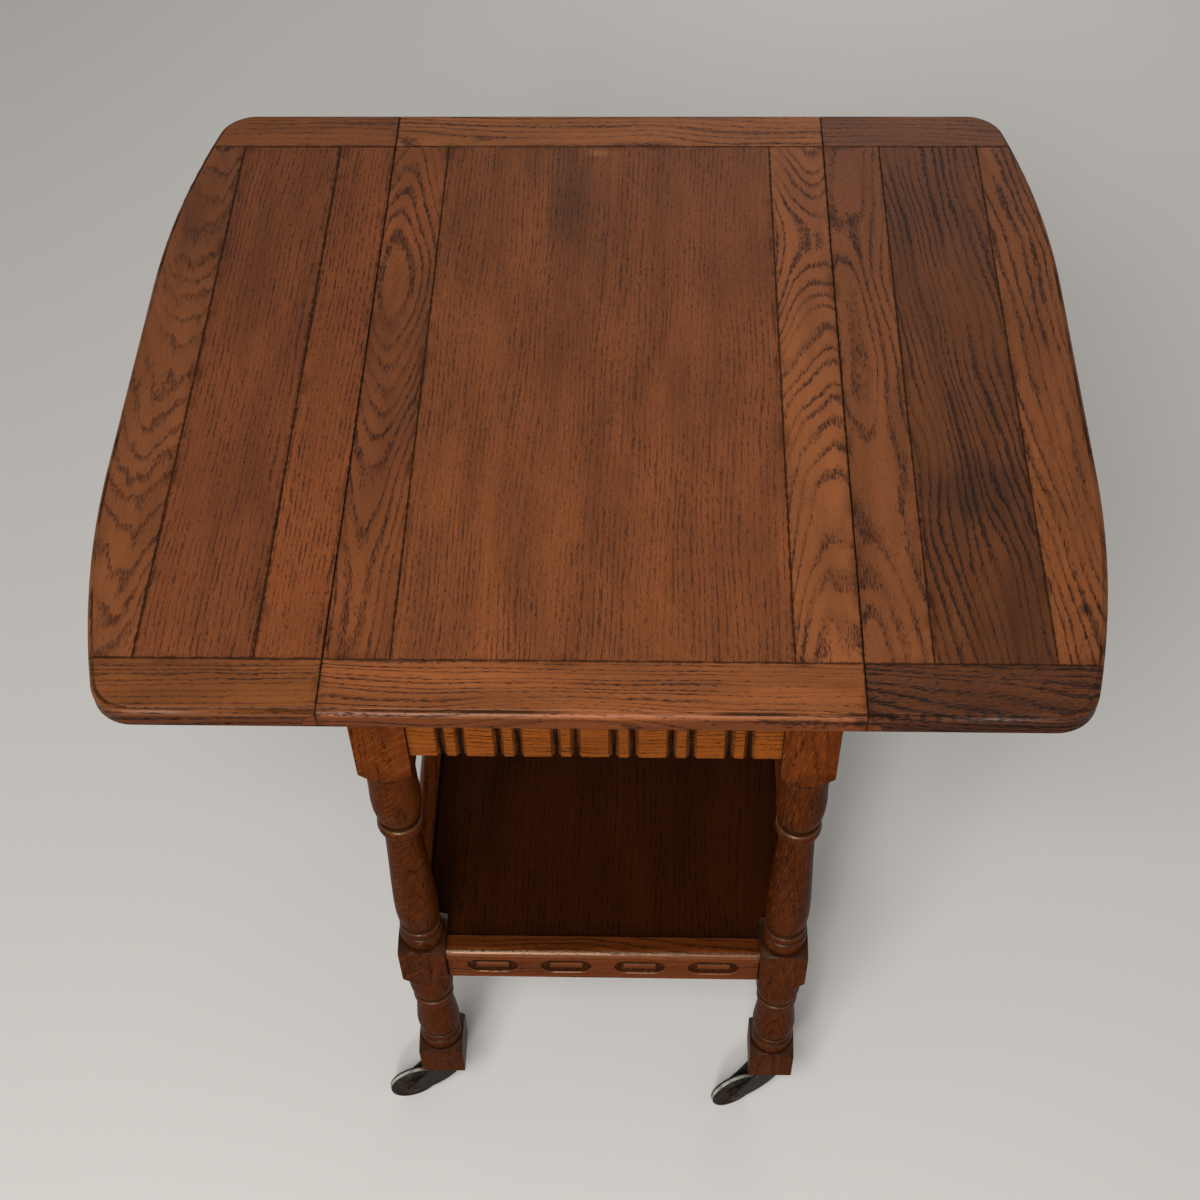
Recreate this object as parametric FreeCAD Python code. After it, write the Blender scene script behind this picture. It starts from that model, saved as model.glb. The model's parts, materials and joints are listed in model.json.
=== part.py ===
import FreeCAD, Part
import math
import os
from FreeCAD import Vector

# Drop leaf tea trolley in oak, millimetres, +Z up.
# X runs across the leaves, the front faces -Y, and the origin is on the floor under the middle of the top.

# Top
top_height = 786.0
top_depth = 691.0
open_width = 791.0
joint_width = 398.0
top_thickness = 18.0
end_rail_width = 48.5
centre_stile_width = 50.0
leaf_hinge_stile_width = 51.5
leaf_outer_stile_width = 55.0

# Plan of a leaf: a straight middle, two bowed stretches and rounded corners
leaf_straight_length = 220.0
leaf_bow_radius = 820.0
leaf_corner_radius = 34.0

# Moulded edge: a sunk quirk, then a rounded nose
quirk_inset = 4.6
quirk_depth = 1.0
nose_radius = 4.0
under_edge_radius = 1.6

# Rule joint between the centre and each leaf
rule_lip = 4.0
rule_gap = 0.6
rule_clearance = 0.4

# Table hinges, let in flush under the rule joint
hinge_length = 50.0
hinge_end_inset = 130.5
hinge_plate = 2.0
hinge_fixed_flap = 26.0
hinge_moving_flap = 42.0
hinge_moving_knuckle = 18.0
hinge_knuckle_radius = 2.9
hinge_knuckle_shy = 0.1
hinge_knuckle_gap = 0.5
hinge_clearance = 0.3
hinge_pin_radius = 1.5
hinge_screw_length = 11.0
hinge_screw_edge = 8.0

# Countersunk screws
screw_head_radius = 3.4
screw_shank_radius = 1.7
screw_head_height = 1.8

# Legs
leg_width = 44.0
leg_side_setback = 8.7
leg_end_setback = 42.0
upper_block_length = 141.0
upper_turning_length = 292.0
middle_block_length = 65.0
lower_turning_length = 145.0
upper_shoulder_drop = 12.0
middle_shoulder_rise = 5.5
middle_shoulder_drop = 12.0
foot_shoulder_rise = 9.0

# Turned stretches as curves of (distance down, radius), in shares of the stretch and of half the leg width.
# Two points are a line, three an arc, and more a smooth curve.
upper_turning_shares = (
    ((0.0, 1.0), (0.014, 0.93)),
    ((0.014, 0.93), (0.106, 0.94), (0.164, 0.968), (0.216, 0.945), (0.257, 0.86)),
    ((0.257, 0.86), (0.275, 0.745), (0.288, 0.77)),
    ((0.288, 0.77), (0.312, 0.9), (0.336, 0.765)),
    ((0.336, 0.765), (0.37, 0.705), (0.541, 0.786), (0.678, 0.866), (0.798, 0.908), (0.863, 0.868),
     (0.89, 0.79)),
    ((0.89, 0.79), (0.899, 0.735), (0.908, 0.77)),
    ((0.908, 0.77), (0.926, 0.865), (0.943, 0.79)),
    ((0.943, 0.79), (0.97, 0.92), (0.993, 0.885)),
    ((0.993, 0.885), (1.0, 0.885)),
    ((1.0, 0.885), (1.0, 1.0)),
)
lower_turning_shares = (
    ((0.0, 1.0), (0.03, 0.925)),
    ((0.03, 0.925), (0.12, 0.955), (0.2, 0.96), (0.255, 0.91), (0.285, 0.81)),
    ((0.285, 0.81), (0.31, 0.745), (0.325, 0.78)),
    ((0.325, 0.78), (0.365, 0.89), (0.405, 0.8)),
    ((0.405, 0.8), (0.45, 0.79), (0.58, 0.875), (0.73, 0.95), (0.8, 0.9), (0.825, 0.8)),
    ((0.825, 0.8), (0.835, 0.76), (0.845, 0.785)),
    ((0.845, 0.785), (0.878, 0.875), (0.91, 0.81)),
    ((0.91, 0.81), (0.96, 0.935), (0.993, 0.92)),
    ((0.993, 0.92), (1.0, 0.92)),
    ((1.0, 0.92), (1.0, 1.0)),
)

# Rails under the top and round the shelf
rail_thickness = 20.0
rail_setback = 3.0
frieze_height = 105.0
tenon_length = 15.0
tenon_thickness = 8.0
tenon_shoulder = 8.0
mortise_end_gap = 1.0

# Flutes on the friezes: pairs of round-bottomed grooves that run out at the bottom and stop short of the top
flute_pairs = 6
flute_end_gap = 33.8
flute_spacing = 15.4
flute_width = 8.4
flute_depth = 2.8
flute_stop = 9.0

# Shelf
shelf_rail_drop = 7.0
shelf_rail_height = 47.0
shelf_nose_radius = 8.0
shelf_quirk_drop = 10.5
shelf_face_setback = 1.5
shelf_panel_thickness = 9.0
shelf_panel_sink = 12.0
shelf_groove_depth = 6.0
shelf_tongue = 6.0
shelf_panel_clearance = 0.5

# Carving on the front and back shelf rails: sunk rounded panels, each round a raised half-round bar
carving_count = 4
carving_end_gap = 42.8
carving_spacing = 22.0
carving_height = 23.0
carving_depth = 2.4
carving_bar_margin = 8.5
carving_bar_height = 10.0
carving_bar_rise = 2.0
carving_centre_rise_share = 0.45

# Pull-out slides that hold the leaves up, and their bearers
slide_width = 22.0
slide_height = 20.0
slide_hinge_spacing = 85.0
slide_clearance = 0.3
slide_end_proud = 3.0
slide_inner_gap = 6.0
slide_peg_radius = 3.0
slide_peg_inset = 7.0
slide_peg_drop = 9.0
bearer_width = 18.0
bearer_height = 42.0
bearer_setback = 41.3
bearer_housing = 6.0
finger_scoop_radius = 12.0
finger_scoop_depth = 8.0

# Glue blocks and the screws through them
block_side = 20.0
block_length = 40.0
block_bearer_gap = 28.0
block_chamfer = 6.0
block_screw_length = 30.0

# Castors
castor_height = 72.0
castor_trail = 39.0
wheel_radius = 25.0
tyre_depth = 4.6
tyre_width = 9.6
tyre_round = 3.2
rim_depth = 3.6
rim_width = 8.0
wheel_web = 6.2
hub_radius = 7.0
hub_width = 13.0
axle_radius = 3.0
axle_head_radius = 4.6
axle_head_height = 1.5
horn_sheet = 2.2
horn_side_gap = 0.5
horn_crown_radius = 18.0
horn_crown_thickness = 3.0
horn_boss_radius = 8.5
horn_front_share = 0.95
horn_back_share = 0.85
horn_hollow_share = 0.04
horn_bulge_share = 0.2
horn_web_share = 0.4
stem_radius = 4.0
stem_length = 32.0
socket_radius = 6.5
socket_length = 38.0
socket_plate_radius = 18.0
socket_plate = 2.0
swivel_gap = 0.2

# Which way each castor trails at rest, in degrees from +X
swivel_angles = {"front_left": 199.0, "front_right": 205.0, "back_left": 211.0, "back_right": 202.0}

# Fits
running_fit = 0.05
push_fit = 0.03

# How close an edge has to lie to a height or a line to count as on it
on_line = 0.01

# One overrun for every cut
overrun = 5.0

half_depth = top_depth / 2
half_open = open_width / 2
half_joint = joint_width / 2
half_leg = leg_width / 2
under_top = top_height - top_thickness
hinge_drop = hinge_knuckle_radius + hinge_knuckle_shy
hinge_z = under_top + hinge_drop
rule_radius = top_thickness - rule_lip - hinge_drop
cove_radius = rule_radius + rule_clearance
rail_inner_y = half_depth - end_rail_width
centre_seam = half_joint - centre_stile_width
leaf_edge = half_joint + rule_gap
hinge_stile_seam = half_joint + leaf_hinge_stile_width
outer_stile_seam = half_open - leaf_outer_stile_width

leg_x = half_joint - leg_side_setback - half_leg
leg_y = half_depth - leg_end_setback - half_leg
leg_inner_x = leg_x - half_leg
leg_inner_y = leg_y - half_leg
upper_block_z = under_top - upper_block_length
middle_block_top = upper_block_z - upper_turning_length
middle_block_bottom = middle_block_top - middle_block_length
foot_top = middle_block_bottom - lower_turning_length

side_face = leg_x + half_leg - rail_setback
end_face = leg_y + half_leg - rail_setback
side_inner = side_face - rail_thickness
end_inner = end_face - rail_thickness
frieze_bottom = under_top - frieze_height
shelf_rail_top = middle_block_top - shelf_rail_drop
shelf_rail_bottom = shelf_rail_top - shelf_rail_height
shelf_top = shelf_rail_top - shelf_panel_sink
shelf_bottom = shelf_top - shelf_panel_thickness
shelf_tongue_top = shelf_bottom + shelf_tongue

slide_bottom = under_top - slide_clearance - slide_height
bearer_outer = side_inner - bearer_setback
bearer_inner = bearer_outer - bearer_width
block_end_place = bearer_inner - block_bearer_gap - block_length / 2

hinge_row = half_depth - hinge_end_inset
slide_row = hinge_row - slide_hinge_spacing
flute_pair_pitch = (leg_inner_x - flute_end_gap) * 2 / (flute_pairs - 1)
carving_pitch = (leg_inner_x - carving_end_gap) * 2 / (carving_count - 1)
carving_length = carving_pitch - carving_spacing
carving_bar_length = carving_length - carving_bar_margin - carving_bar_margin

left, right = -1, 1
front, back = -1, 1
sides = {"left": left, "right": right}
ends = {"front": front, "back": back}
corners = {f"{e}_{s}": (sides[s], ends[e]) for e in ends for s in sides}


def box(x0, x1, y0, y1, z0, z1):
    """A block between two opposite corners, in any order."""
    low = Vector(min(x0, x1), min(y0, y1), min(z0, z1))
    return Part.makeBox(abs(x1 - x0), abs(y1 - y0), abs(z1 - z0), low)


def line(a, b):
    return Part.LineSegment(a, b).toShape()


def arc(a, b, c):
    return Part.Arc(a, b, c).toShape()


def polygon(points):
    """A flat face with straight sides."""
    return Part.Face(Part.makePolygon(list(points) + [points[0]]))


def arc_point(centre, radius, angle, plane):
    """A point on a circle, where plane turns two plane coordinates into a point in space."""
    return plane(centre[0] + radius * math.cos(angle), centre[1] + radius * math.sin(angle))


def screw(head, direction, length):
    """A countersunk screw, from the flat of its head along the direction."""
    outline = [
        Vector(0, 0, 0),
        Vector(screw_head_radius, 0, 0),
        Vector(screw_shank_radius, 0, screw_head_height),
        Vector(screw_shank_radius, 0, length - screw_shank_radius),
        Vector(0, 0, length),
    ]
    shape = polygon(outline).revolve(Vector(0, 0, 0), Vector(0, 0, 1), 360)
    shape.Placement = FreeCAD.Placement(head, FreeCAD.Rotation(Vector(0, 0, 1), direction))
    return shape


# Top boards


def leaf_plan(side, inset, joint_x, z):
    """Plan of a leaf, drawn in by the inset on its three outer edges."""
    straight = leaf_straight_length / 2
    edge_y = half_depth - inset
    edge_x = half_open - inset
    bow_x = half_open - leaf_bow_radius
    corner_y = half_depth - leaf_corner_radius
    reach = leaf_bow_radius - leaf_corner_radius
    turn = math.asin((corner_y - straight) / reach)
    corner_x = bow_x + reach * math.cos(turn)
    bow = leaf_bow_radius - inset
    corner = leaf_corner_radius - inset
    middle = (turn + math.pi / 2) / 2

    def at(x, y):
        return Vector(side * x, y, z)

    edges = [
        line(at(joint_x, edge_y), at(joint_x, -edge_y)),
        line(at(edge_x, -straight), at(edge_x, straight)),
    ]
    for end in (front, back):
        def point(x, y, end=end):
            return at(x, end * y)

        bow_middle = arc_point((bow_x, straight), bow, turn / 2, point)
        bow_end = arc_point((bow_x, straight), bow, turn, point)
        corner_end = arc_point((corner_x, corner_y), corner, math.pi / 2, point)
        edges.append(arc(point(edge_x, straight), bow_middle, bow_end))
        edges.append(arc(bow_end, arc_point((corner_x, corner_y), corner, middle, point), corner_end))
        edges.append(line(corner_end, point(joint_x, edge_y)))
    return Part.Face(Part.Wire(Part.__sortEdges__(edges)))


def moulded(lower_plan, upper_plan, on_edge):
    """A slab with the quirk and rounded nose along the edges that on_edge picks."""
    step = top_thickness - quirk_depth
    slab = lower_plan.extrude(Vector(0, 0, step))

    def rim(z):
        level = [e for e in slab.Edges if all(abs(v.Z - z) < on_line for v in e.Vertexes)]
        return [e for e in level if on_edge(e.CenterOfMass)]

    slab = slab.makeFillet(nose_radius, rim(under_top + step))
    slab = slab.makeFillet(under_edge_radius, rim(under_top))
    raised = upper_plan.extrude(Vector(0, 0, quirk_depth))
    raised.translate(Vector(0, 0, step))
    return slab.fuse(raised).removeSplitter()


def leaf_slab(side):
    """One leaf in one piece: moulded on three edges, with the rule joint's cove along the fourth."""
    start = half_joint - overrun

    def outer(middle):
        return abs(middle.x) > start + on_line

    full_plan = leaf_plan(side, 0, start, under_top)
    raised_plan = leaf_plan(side, quirk_inset, start, under_top)
    slab = moulded(full_plan, raised_plan, outer)

    def at(x, z):
        return Vector(side * x, -half_depth - overrun, z)

    axis = (half_joint, hinge_z)
    top_angle = math.acos(rule_gap / cove_radius)
    cove_top = arc_point(axis, cove_radius, top_angle, at)
    cove_end = arc_point(axis, cove_radius, 0, at)
    corners_out = [
        cove_end,
        at(half_joint + cove_radius, under_top - overrun),
        at(start - overrun, under_top - overrun),
        at(start - overrun, top_height + overrun),
        at(leaf_edge, top_height + overrun),
        cove_top,
    ]
    edges = [line(a, b) for a, b in zip(corners_out, corners_out[1:])]
    edges.append(arc(cove_top, arc_point(axis, cove_radius, top_angle / 2, at), cove_end))
    return slab.cut(Part.Face(Part.Wire(edges)).extrude(Vector(0, top_depth + overrun + overrun, 0)))


def centre_slab():
    """The fixed centre in one piece: moulded at both ends, with the rule joint's ovolo along both sides."""
    wide = half_joint + rule_radius + overrun

    def plan(inset):
        y = half_depth - inset
        return polygon([Vector(x * wide, e * y, under_top) for x, e in ((-1, -1), (1, -1), (1, 1), (-1, 1))])

    def end_edge(middle):
        return abs(middle.x) < on_line

    slab = moulded(plan(0), plan(quirk_inset), end_edge)
    edges = []
    lowest = -math.asin(hinge_drop / rule_radius)
    for side in (left, right):
        def at(x, z, side=side):
            return Vector(side * x, -half_depth - overrun, z)

        axis = (half_joint, hinge_z)
        ovolo_top = arc_point(axis, rule_radius, math.pi / 2, at)
        ovolo_end = arc_point(axis, rule_radius, lowest, at)
        edges.append(line(at(0, top_height), at(half_joint, top_height)))
        edges.append(line(at(half_joint, top_height), ovolo_top))
        edges.append(arc(ovolo_top, arc_point(axis, rule_radius, math.pi / 4, at), ovolo_end))
        edges.append(line(ovolo_end, at(0, under_top)))
    section = Part.Face(Part.Wire(Part.__sortEdges__(edges)))
    return slab.common(section.extrude(Vector(0, top_depth + overrun + overrun, 0)))


def board(slab, x0, x1, y0, y1):
    """One board out of a slab, by its place in plan."""
    return slab.common(box(x0, x1, y0, y1, under_top - overrun, top_height + overrun))


# Table hinges


def hinge_box(side, y, x0, x1, half_y, z0, z1):
    """A block placed from the hinge's axis, x outwards and z up."""
    inner = side * (half_joint + x0)
    outer = side * (half_joint + x1)
    return box(inner, outer, y - half_y, y + half_y, hinge_z + z0, hinge_z + z1)


def hinge_barrel(y0, y1, side, radius):
    return Part.makeCylinder(radius, y1 - y0, Vector(side * half_joint, y0, hinge_z), Vector(0, 1, 0))


knuckle_reach = hinge_knuckle_radius + hinge_knuckle_gap
hinge_half = hinge_length / 2
moving_half = hinge_moving_knuckle / 2
fixed_start = moving_half + hinge_clearance
screw_row = hinge_half - hinge_screw_edge
fixed_screw_x = -(knuckle_reach + hinge_fixed_flap) / 2
moving_screw_x = (cove_radius + hinge_moving_flap) / 2
plate_top = hinge_plate - hinge_drop


def hinge_screws(side, y, x):
    heads = [Vector(side * (half_joint + x), y + row, under_top) for row in (-screw_row, 0, screw_row)]
    return [screw(head, Vector(0, 0, 1), hinge_screw_length) for head in heads]


def hinge(side, y):
    """Fixed flap, moving flap, pin and the two sets of screws of one hinge."""
    fixed = hinge_box(side, y, -hinge_fixed_flap, -knuckle_reach, hinge_half, -hinge_drop, plate_top)
    moving = hinge_box(side, y, knuckle_reach, hinge_moving_flap, hinge_half, -hinge_drop, plate_top)
    for y0, y1 in ((y - hinge_half, y - fixed_start), (y + fixed_start, y + hinge_half)):
        web = hinge_box(side, (y0 + y1) / 2, -knuckle_reach, 0, (y1 - y0) / 2, -hinge_drop, plate_top)
        fixed = fixed.fuse([hinge_barrel(y0, y1, side, hinge_knuckle_radius), web])
    web = hinge_box(side, y, 0, knuckle_reach, moving_half, -hinge_drop, plate_top)
    moving = moving.fuse([hinge_barrel(y - moving_half, y + moving_half, side, hinge_knuckle_radius), web])
    reach = hinge_half + overrun
    fixed = fixed.cut(hinge_barrel(y - reach, y + reach, side, hinge_pin_radius + push_fit))
    moving = moving.cut(hinge_barrel(y - reach, y + reach, side, hinge_pin_radius + running_fit))
    pin = hinge_barrel(y - hinge_half, y + hinge_half, side, hinge_pin_radius)
    fixed_screws = hinge_screws(side, y, fixed_screw_x)
    moving_screws = hinge_screws(side, y, moving_screw_x)
    fixed = fixed.removeSplitter().cut(fixed_screws)
    moving = moving.removeSplitter().cut(moving_screws)
    return fixed, moving, pin, fixed_screws, moving_screws


def hinge_beds(side, y):
    """What a hinge takes out of the centre's stile, and out of the leaf's."""
    half = hinge_half + hinge_clearance
    below = -hinge_drop - overrun
    flap = hinge_box(side, y, -hinge_fixed_flap, -knuckle_reach, half, below, plate_top)
    knuckle = hinge_box(side, y, -knuckle_reach, knuckle_reach, half, below, knuckle_reach)
    swing = hinge_box(side, y, knuckle_reach, rule_radius + overrun, half, below, plate_top + hinge_clearance)
    leaf = hinge_box(side, y, cove_radius - overrun, hinge_moving_flap, half, below, plate_top)
    return [flap, knuckle, swing], leaf


# Frame


def turned(shares, top, length):
    """Edges of a turned stretch, in the plane of the leg's axis."""
    edges = []
    for curve in shares:
        points = [Vector(radius * half_leg, 0, top - down * length) for down, radius in curve]
        if len(points) == 2:
            edges.append(line(*points))
        elif len(points) == 3:
            edges.append(arc(*points))
        else:
            spline = Part.BSplineCurve()
            spline.interpolate(points)
            edges.append(spline.toShape())
    return edges


def leg_blank():
    """A square leg turned between its three blocks, on the Z axis."""
    corner = math.hypot(half_leg, half_leg)
    swing = corner + overrun
    steep = (swing - half_leg) / (corner - half_leg)

    def at(radius, z):
        return Vector(radius, 0, z)

    def chain(*points):
        return [line(a, b) for a, b in zip(points, points[1:])]

    upper_end = upper_block_z + upper_shoulder_drop * steep
    middle_start = middle_block_top - middle_shoulder_rise * steep
    middle_end = middle_block_bottom + middle_shoulder_drop * steep
    foot_start = foot_top - foot_shoulder_rise * steep
    edges = chain(at(0, castor_height), at(0, under_top), at(swing, under_top), at(swing, upper_end),
                  at(half_leg, upper_block_z))
    edges += turned(upper_turning_shares, upper_block_z, upper_turning_length)
    edges += chain(at(half_leg, middle_block_top), at(swing, middle_start), at(swing, middle_end),
                   at(half_leg, middle_block_bottom))
    edges += turned(lower_turning_shares, middle_block_bottom, lower_turning_length)
    edges += chain(at(half_leg, foot_top), at(swing, foot_start), at(swing, castor_height),
                   at(0, castor_height))
    turning = Part.Face(Part.Wire(edges)).revolve(Vector(0, 0, 0), Vector(0, 0, 1), 360)
    blank = turning.common(box(-half_leg, half_leg, -half_leg, half_leg, castor_height, under_top))
    return blank.cut(Part.makeCylinder(socket_radius + push_fit, socket_length, Vector(0, 0, castor_height)))


def end_tenon(side, end, z0, z1, gap=0):
    """Tenon of a front or back rail into a leg."""
    middle = end * (end_face - rail_thickness / 2)
    half = tenon_thickness / 2
    return box(side * leg_inner_x, side * (leg_inner_x + tenon_length + gap), middle - half, middle + half,
               z0 + tenon_shoulder, z1 - tenon_shoulder)


def side_tenon(side, end, z0, z1, gap=0):
    """Tenon of a side rail into a leg."""
    middle = side * (side_face - rail_thickness / 2)
    half = tenon_thickness / 2
    return box(middle - half, middle + half, end * leg_inner_y, end * (leg_inner_y + tenon_length + gap),
               z0 + tenon_shoulder, z1 - tenon_shoulder)


def rail_heights():
    """Bottom and top of the tenoned part of the frieze rails, side rails and shelf rails."""
    return {"frieze": (frieze_bottom, under_top), "side": (frieze_bottom, slide_bottom),
            "shelf": (shelf_rail_bottom, shelf_rail_top)}


def leg(blank, side, end):
    """A leg in its place, mortised for its four rails."""
    heights = rail_heights()
    shape = blank.copy()
    shape.translate(Vector(side * leg_x, end * leg_y, 0))
    mortises = [
        end_tenon(side, end, *heights["frieze"], mortise_end_gap),
        side_tenon(side, end, *heights["side"], mortise_end_gap),
        end_tenon(side, end, *heights["shelf"], mortise_end_gap),
        side_tenon(side, end, *heights["shelf"], mortise_end_gap),
    ]
    return shape.cut(mortises)


def bearer_bed(side):
    """The bearer's full length, housed into both friezes."""
    reach = end_inner + bearer_housing
    return box(side * bearer_inner, side * bearer_outer, -reach, reach, under_top - bearer_height, under_top)


def flute(x, end):
    """One flute: a round-ended cylinder that cuts the frieze's face to the flute's width and depth."""
    half = flute_width / 2
    radius = (half * half + flute_depth * flute_depth) / (flute_depth + flute_depth)
    y = end * (end_face - flute_depth + radius)
    stop = under_top - flute_stop - radius
    start = frieze_bottom - overrun
    shaft = Part.makeCylinder(radius, stop - start, Vector(x, y, start))
    return shaft.fuse(Part.makeSphere(radius, Vector(x, y, stop))).removeSplitter()


def frieze(end):
    """A fluted rail across one end, tenoned into two legs and housed for the bearers."""
    shape = box(-leg_inner_x, leg_inner_x, end * end_inner, end * end_face, frieze_bottom, under_top)
    tenons = [end_tenon(side, end, frieze_bottom, under_top) for side in (left, right)]
    cuts = [bearer_bed(side) for side in (left, right)]
    for pair in range(flute_pairs):
        middle = (pair - (flute_pairs - 1) / 2) * flute_pair_pitch
        cuts += [flute(middle + twin * flute_spacing / 2, end) for twin in (-1, 1)]
    return shape.fuse(tenons).removeSplitter().cut(cuts)


def slide_way(y):
    """The channel that a pair of slides runs in, right across the frame."""
    half = slide_width / 2 + slide_clearance
    return box(-half_joint, half_joint, y - half, y + half, slide_bottom, under_top + overrun)


def slide_rows():
    return [end * slide_row for end in (front, back)]


def side_rail(side):
    """A rail along one side, notched for the slides, with a finger scoop under each notch."""
    shape = box(side * side_inner, side * side_face, -leg_inner_y, leg_inner_y, frieze_bottom, under_top)
    tenons = [side_tenon(side, end, frieze_bottom, slide_bottom) for end in (front, back)]
    cuts = [slide_way(y) for y in slide_rows()]
    for y in slide_rows():
        start = Vector(side * (side_face - finger_scoop_depth), y, slide_bottom)
        depth = finger_scoop_depth + overrun
        cuts.append(Part.makeCylinder(finger_scoop_radius, depth, start, Vector(side, 0, 0)))
    return shape.fuse(tenons).removeSplitter().cut(cuts)


def bearer(side):
    return bearer_bed(side).cut([slide_way(y) for y in slide_rows()])


def slide(side, end):
    """A pull-out slide with its stop peg."""
    y = end * slide_row
    half = slide_width / 2
    outer = side_face + slide_end_proud
    slide_top = slide_bottom + slide_height
    shape = box(side * slide_inner_gap, side * outer, y - half, y + half, slide_bottom, slide_top)
    peg_x = side * (slide_inner_gap + slide_peg_inset)
    peg_z = slide_bottom - slide_peg_drop
    peg = Part.makeCylinder(slide_peg_radius, slide_top - peg_z, Vector(peg_x, y, peg_z))
    return shape.fuse(peg).removeSplitter()


def shelf_section(plane):
    """Section of a shelf rail: a rounded nose over a quirk, a face set back, and a groove for the panel."""
    face = rail_thickness - shelf_face_setback
    quirk = shelf_rail_top - shelf_quirk_drop
    nose_start = plane(rail_thickness, shelf_rail_top - shelf_nose_radius)
    nose_end = plane(rail_thickness - shelf_nose_radius, shelf_rail_top)
    centre = (rail_thickness - shelf_nose_radius, shelf_rail_top - shelf_nose_radius)
    round_the_back = [
        nose_end,
        plane(0, shelf_rail_top),
        plane(0, shelf_tongue_top),
        plane(shelf_groove_depth, shelf_tongue_top),
        plane(shelf_groove_depth, shelf_bottom),
        plane(0, shelf_bottom),
        plane(0, shelf_rail_bottom),
        plane(face, shelf_rail_bottom),
        plane(face, quirk),
        plane(rail_thickness, quirk),
        nose_start,
    ]
    edges = [line(a, b) for a, b in zip(round_the_back, round_the_back[1:])]
    edges.append(arc(nose_start, arc_point(centre, shelf_nose_radius, math.pi / 4, plane), nose_end))
    return Part.Face(Part.Wire(edges))


def stadium(x, z, length, height, y):
    """A flat face with half-round ends, lying across Y."""
    radius = height / 2
    run = length / 2 - radius

    def at(dx, dz):
        return Vector(x + dx, y, z + dz)

    edges = [
        line(at(-run, radius), at(run, radius)),
        arc(at(run, radius), at(run + radius, 0), at(run, -radius)),
        line(at(run, -radius), at(-run, -radius)),
        arc(at(-run, -radius), at(-run - radius, 0), at(-run, radius)),
    ]
    return Part.Face(Part.Wire(edges))


def carving(x, z, end):
    """What one carved panel takes out of a rail: a sunk field, less the half-round bar standing in it."""
    face = end_face - shelf_face_setback
    floor_y = end * (face - carving_depth)
    sunk = stadium(x, z, carving_length, carving_height, floor_y)
    sunk = sunk.extrude(Vector(0, end * (carving_depth + overrun), 0))
    half = carving_bar_height / 2
    radius = (half * half + carving_bar_rise * carving_bar_rise) / (carving_bar_rise + carving_bar_rise)
    start = Vector(x - carving_bar_length / 2, end * (face - carving_depth + carving_bar_rise - radius), z)
    bar = Part.makeCylinder(radius, carving_bar_length, start, Vector(1, 0, 0))
    return sunk.cut(bar)


def shelf_end_rail(end):
    """A carved shelf rail across one end."""
    def plane(out, z):
        return Vector(-leg_inner_x, end * (end_inner + out), z)

    shape = shelf_section(plane).extrude(Vector(leg_inner_x + leg_inner_x, 0, 0))
    tenons = [end_tenon(side, end, shelf_rail_bottom, shelf_rail_top) for side in (left, right)]
    shape = shape.fuse(tenons).removeSplitter()
    field = shelf_rail_height - shelf_quirk_drop
    z = shelf_rail_bottom + field / 2 + (field - carving_height) / 2 * carving_centre_rise_share
    for number in range(carving_count):
        x = (number - (carving_count - 1) / 2) * carving_pitch
        shape = shape.cut(carving(x, z, end))
    return shape


def shelf_side_rail(side):
    """A plain shelf rail along one side."""
    def plane(out, z):
        return Vector(side * (side_inner + out), -leg_inner_y, z)

    shape = shelf_section(plane).extrude(Vector(0, leg_inner_y + leg_inner_y, 0))
    tenons = [side_tenon(side, end, shelf_rail_bottom, shelf_rail_top) for end in (front, back)]
    return shape.fuse(tenons).removeSplitter()


def shelf_panel():
    """The sunk shelf, notched round the legs, with a tongue round it in the rails' grooves."""
    leg_gap_x = leg_inner_x - shelf_panel_clearance
    leg_gap_y = leg_inner_y - shelf_panel_clearance

    def notched(reach, z0, z1):
        across = side_inner + reach - shelf_panel_clearance
        along = end_inner + reach - shelf_panel_clearance
        wide = box(-across, across, -leg_gap_y, leg_gap_y, z0, z1)
        return wide.fuse(box(-leg_gap_x, leg_gap_x, -along, along, z0, z1))

    tongue = notched(shelf_groove_depth, shelf_bottom, shelf_tongue_top)
    return tongue.fuse(notched(0, shelf_tongue_top, shelf_top)).removeSplitter()


def glue_block(x, y, away_x, away_y):
    """A block glued into the angle of a rail and the top; away points out of the angle."""
    low = under_top - block_side
    out = block_side - block_chamfer
    if away_x:
        def at(d, z):
            return Vector(x + away_x * d, y - block_length / 2, z)
        run = Vector(0, block_length, 0)
    else:
        def at(d, z):
            return Vector(x - block_length / 2, y + away_y * d, z)
        run = Vector(block_length, 0, 0)
    section = [
        at(0, low),
        at(out, low),
        at(block_side, low + block_chamfer),
        at(block_side, under_top),
        at(0, under_top),
    ]
    return polygon(section).extrude(run)


def glue_block_places():
    """Where each block meets its rail, and the way it faces. Those on the side rails stand by the hinges."""
    places = []
    for way in (-1, 1):
        places += [(way * block_end_place, end * end_inner, 0, -end) for end in (front, back)]
        places += [(side * side_inner, way * hinge_row, -side, 0) for side in (left, right)]
    return places


def block_screw(x, y, away_x, away_y):
    reach = (block_side - block_chamfer) / 2
    head = Vector(x + away_x * reach, y + away_y * reach, under_top - block_side)
    return screw(head, Vector(0, 0, 1), block_screw_length)


# Castors, each made on the swivel axis with the wheel trailing along +X

crown_top = castor_height - socket_plate - swivel_gap
crown_bottom = crown_top - horn_crown_thickness
cheek_inner = hub_width / 2 + horn_side_gap
cheek_outer = cheek_inner + horn_sheet


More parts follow.
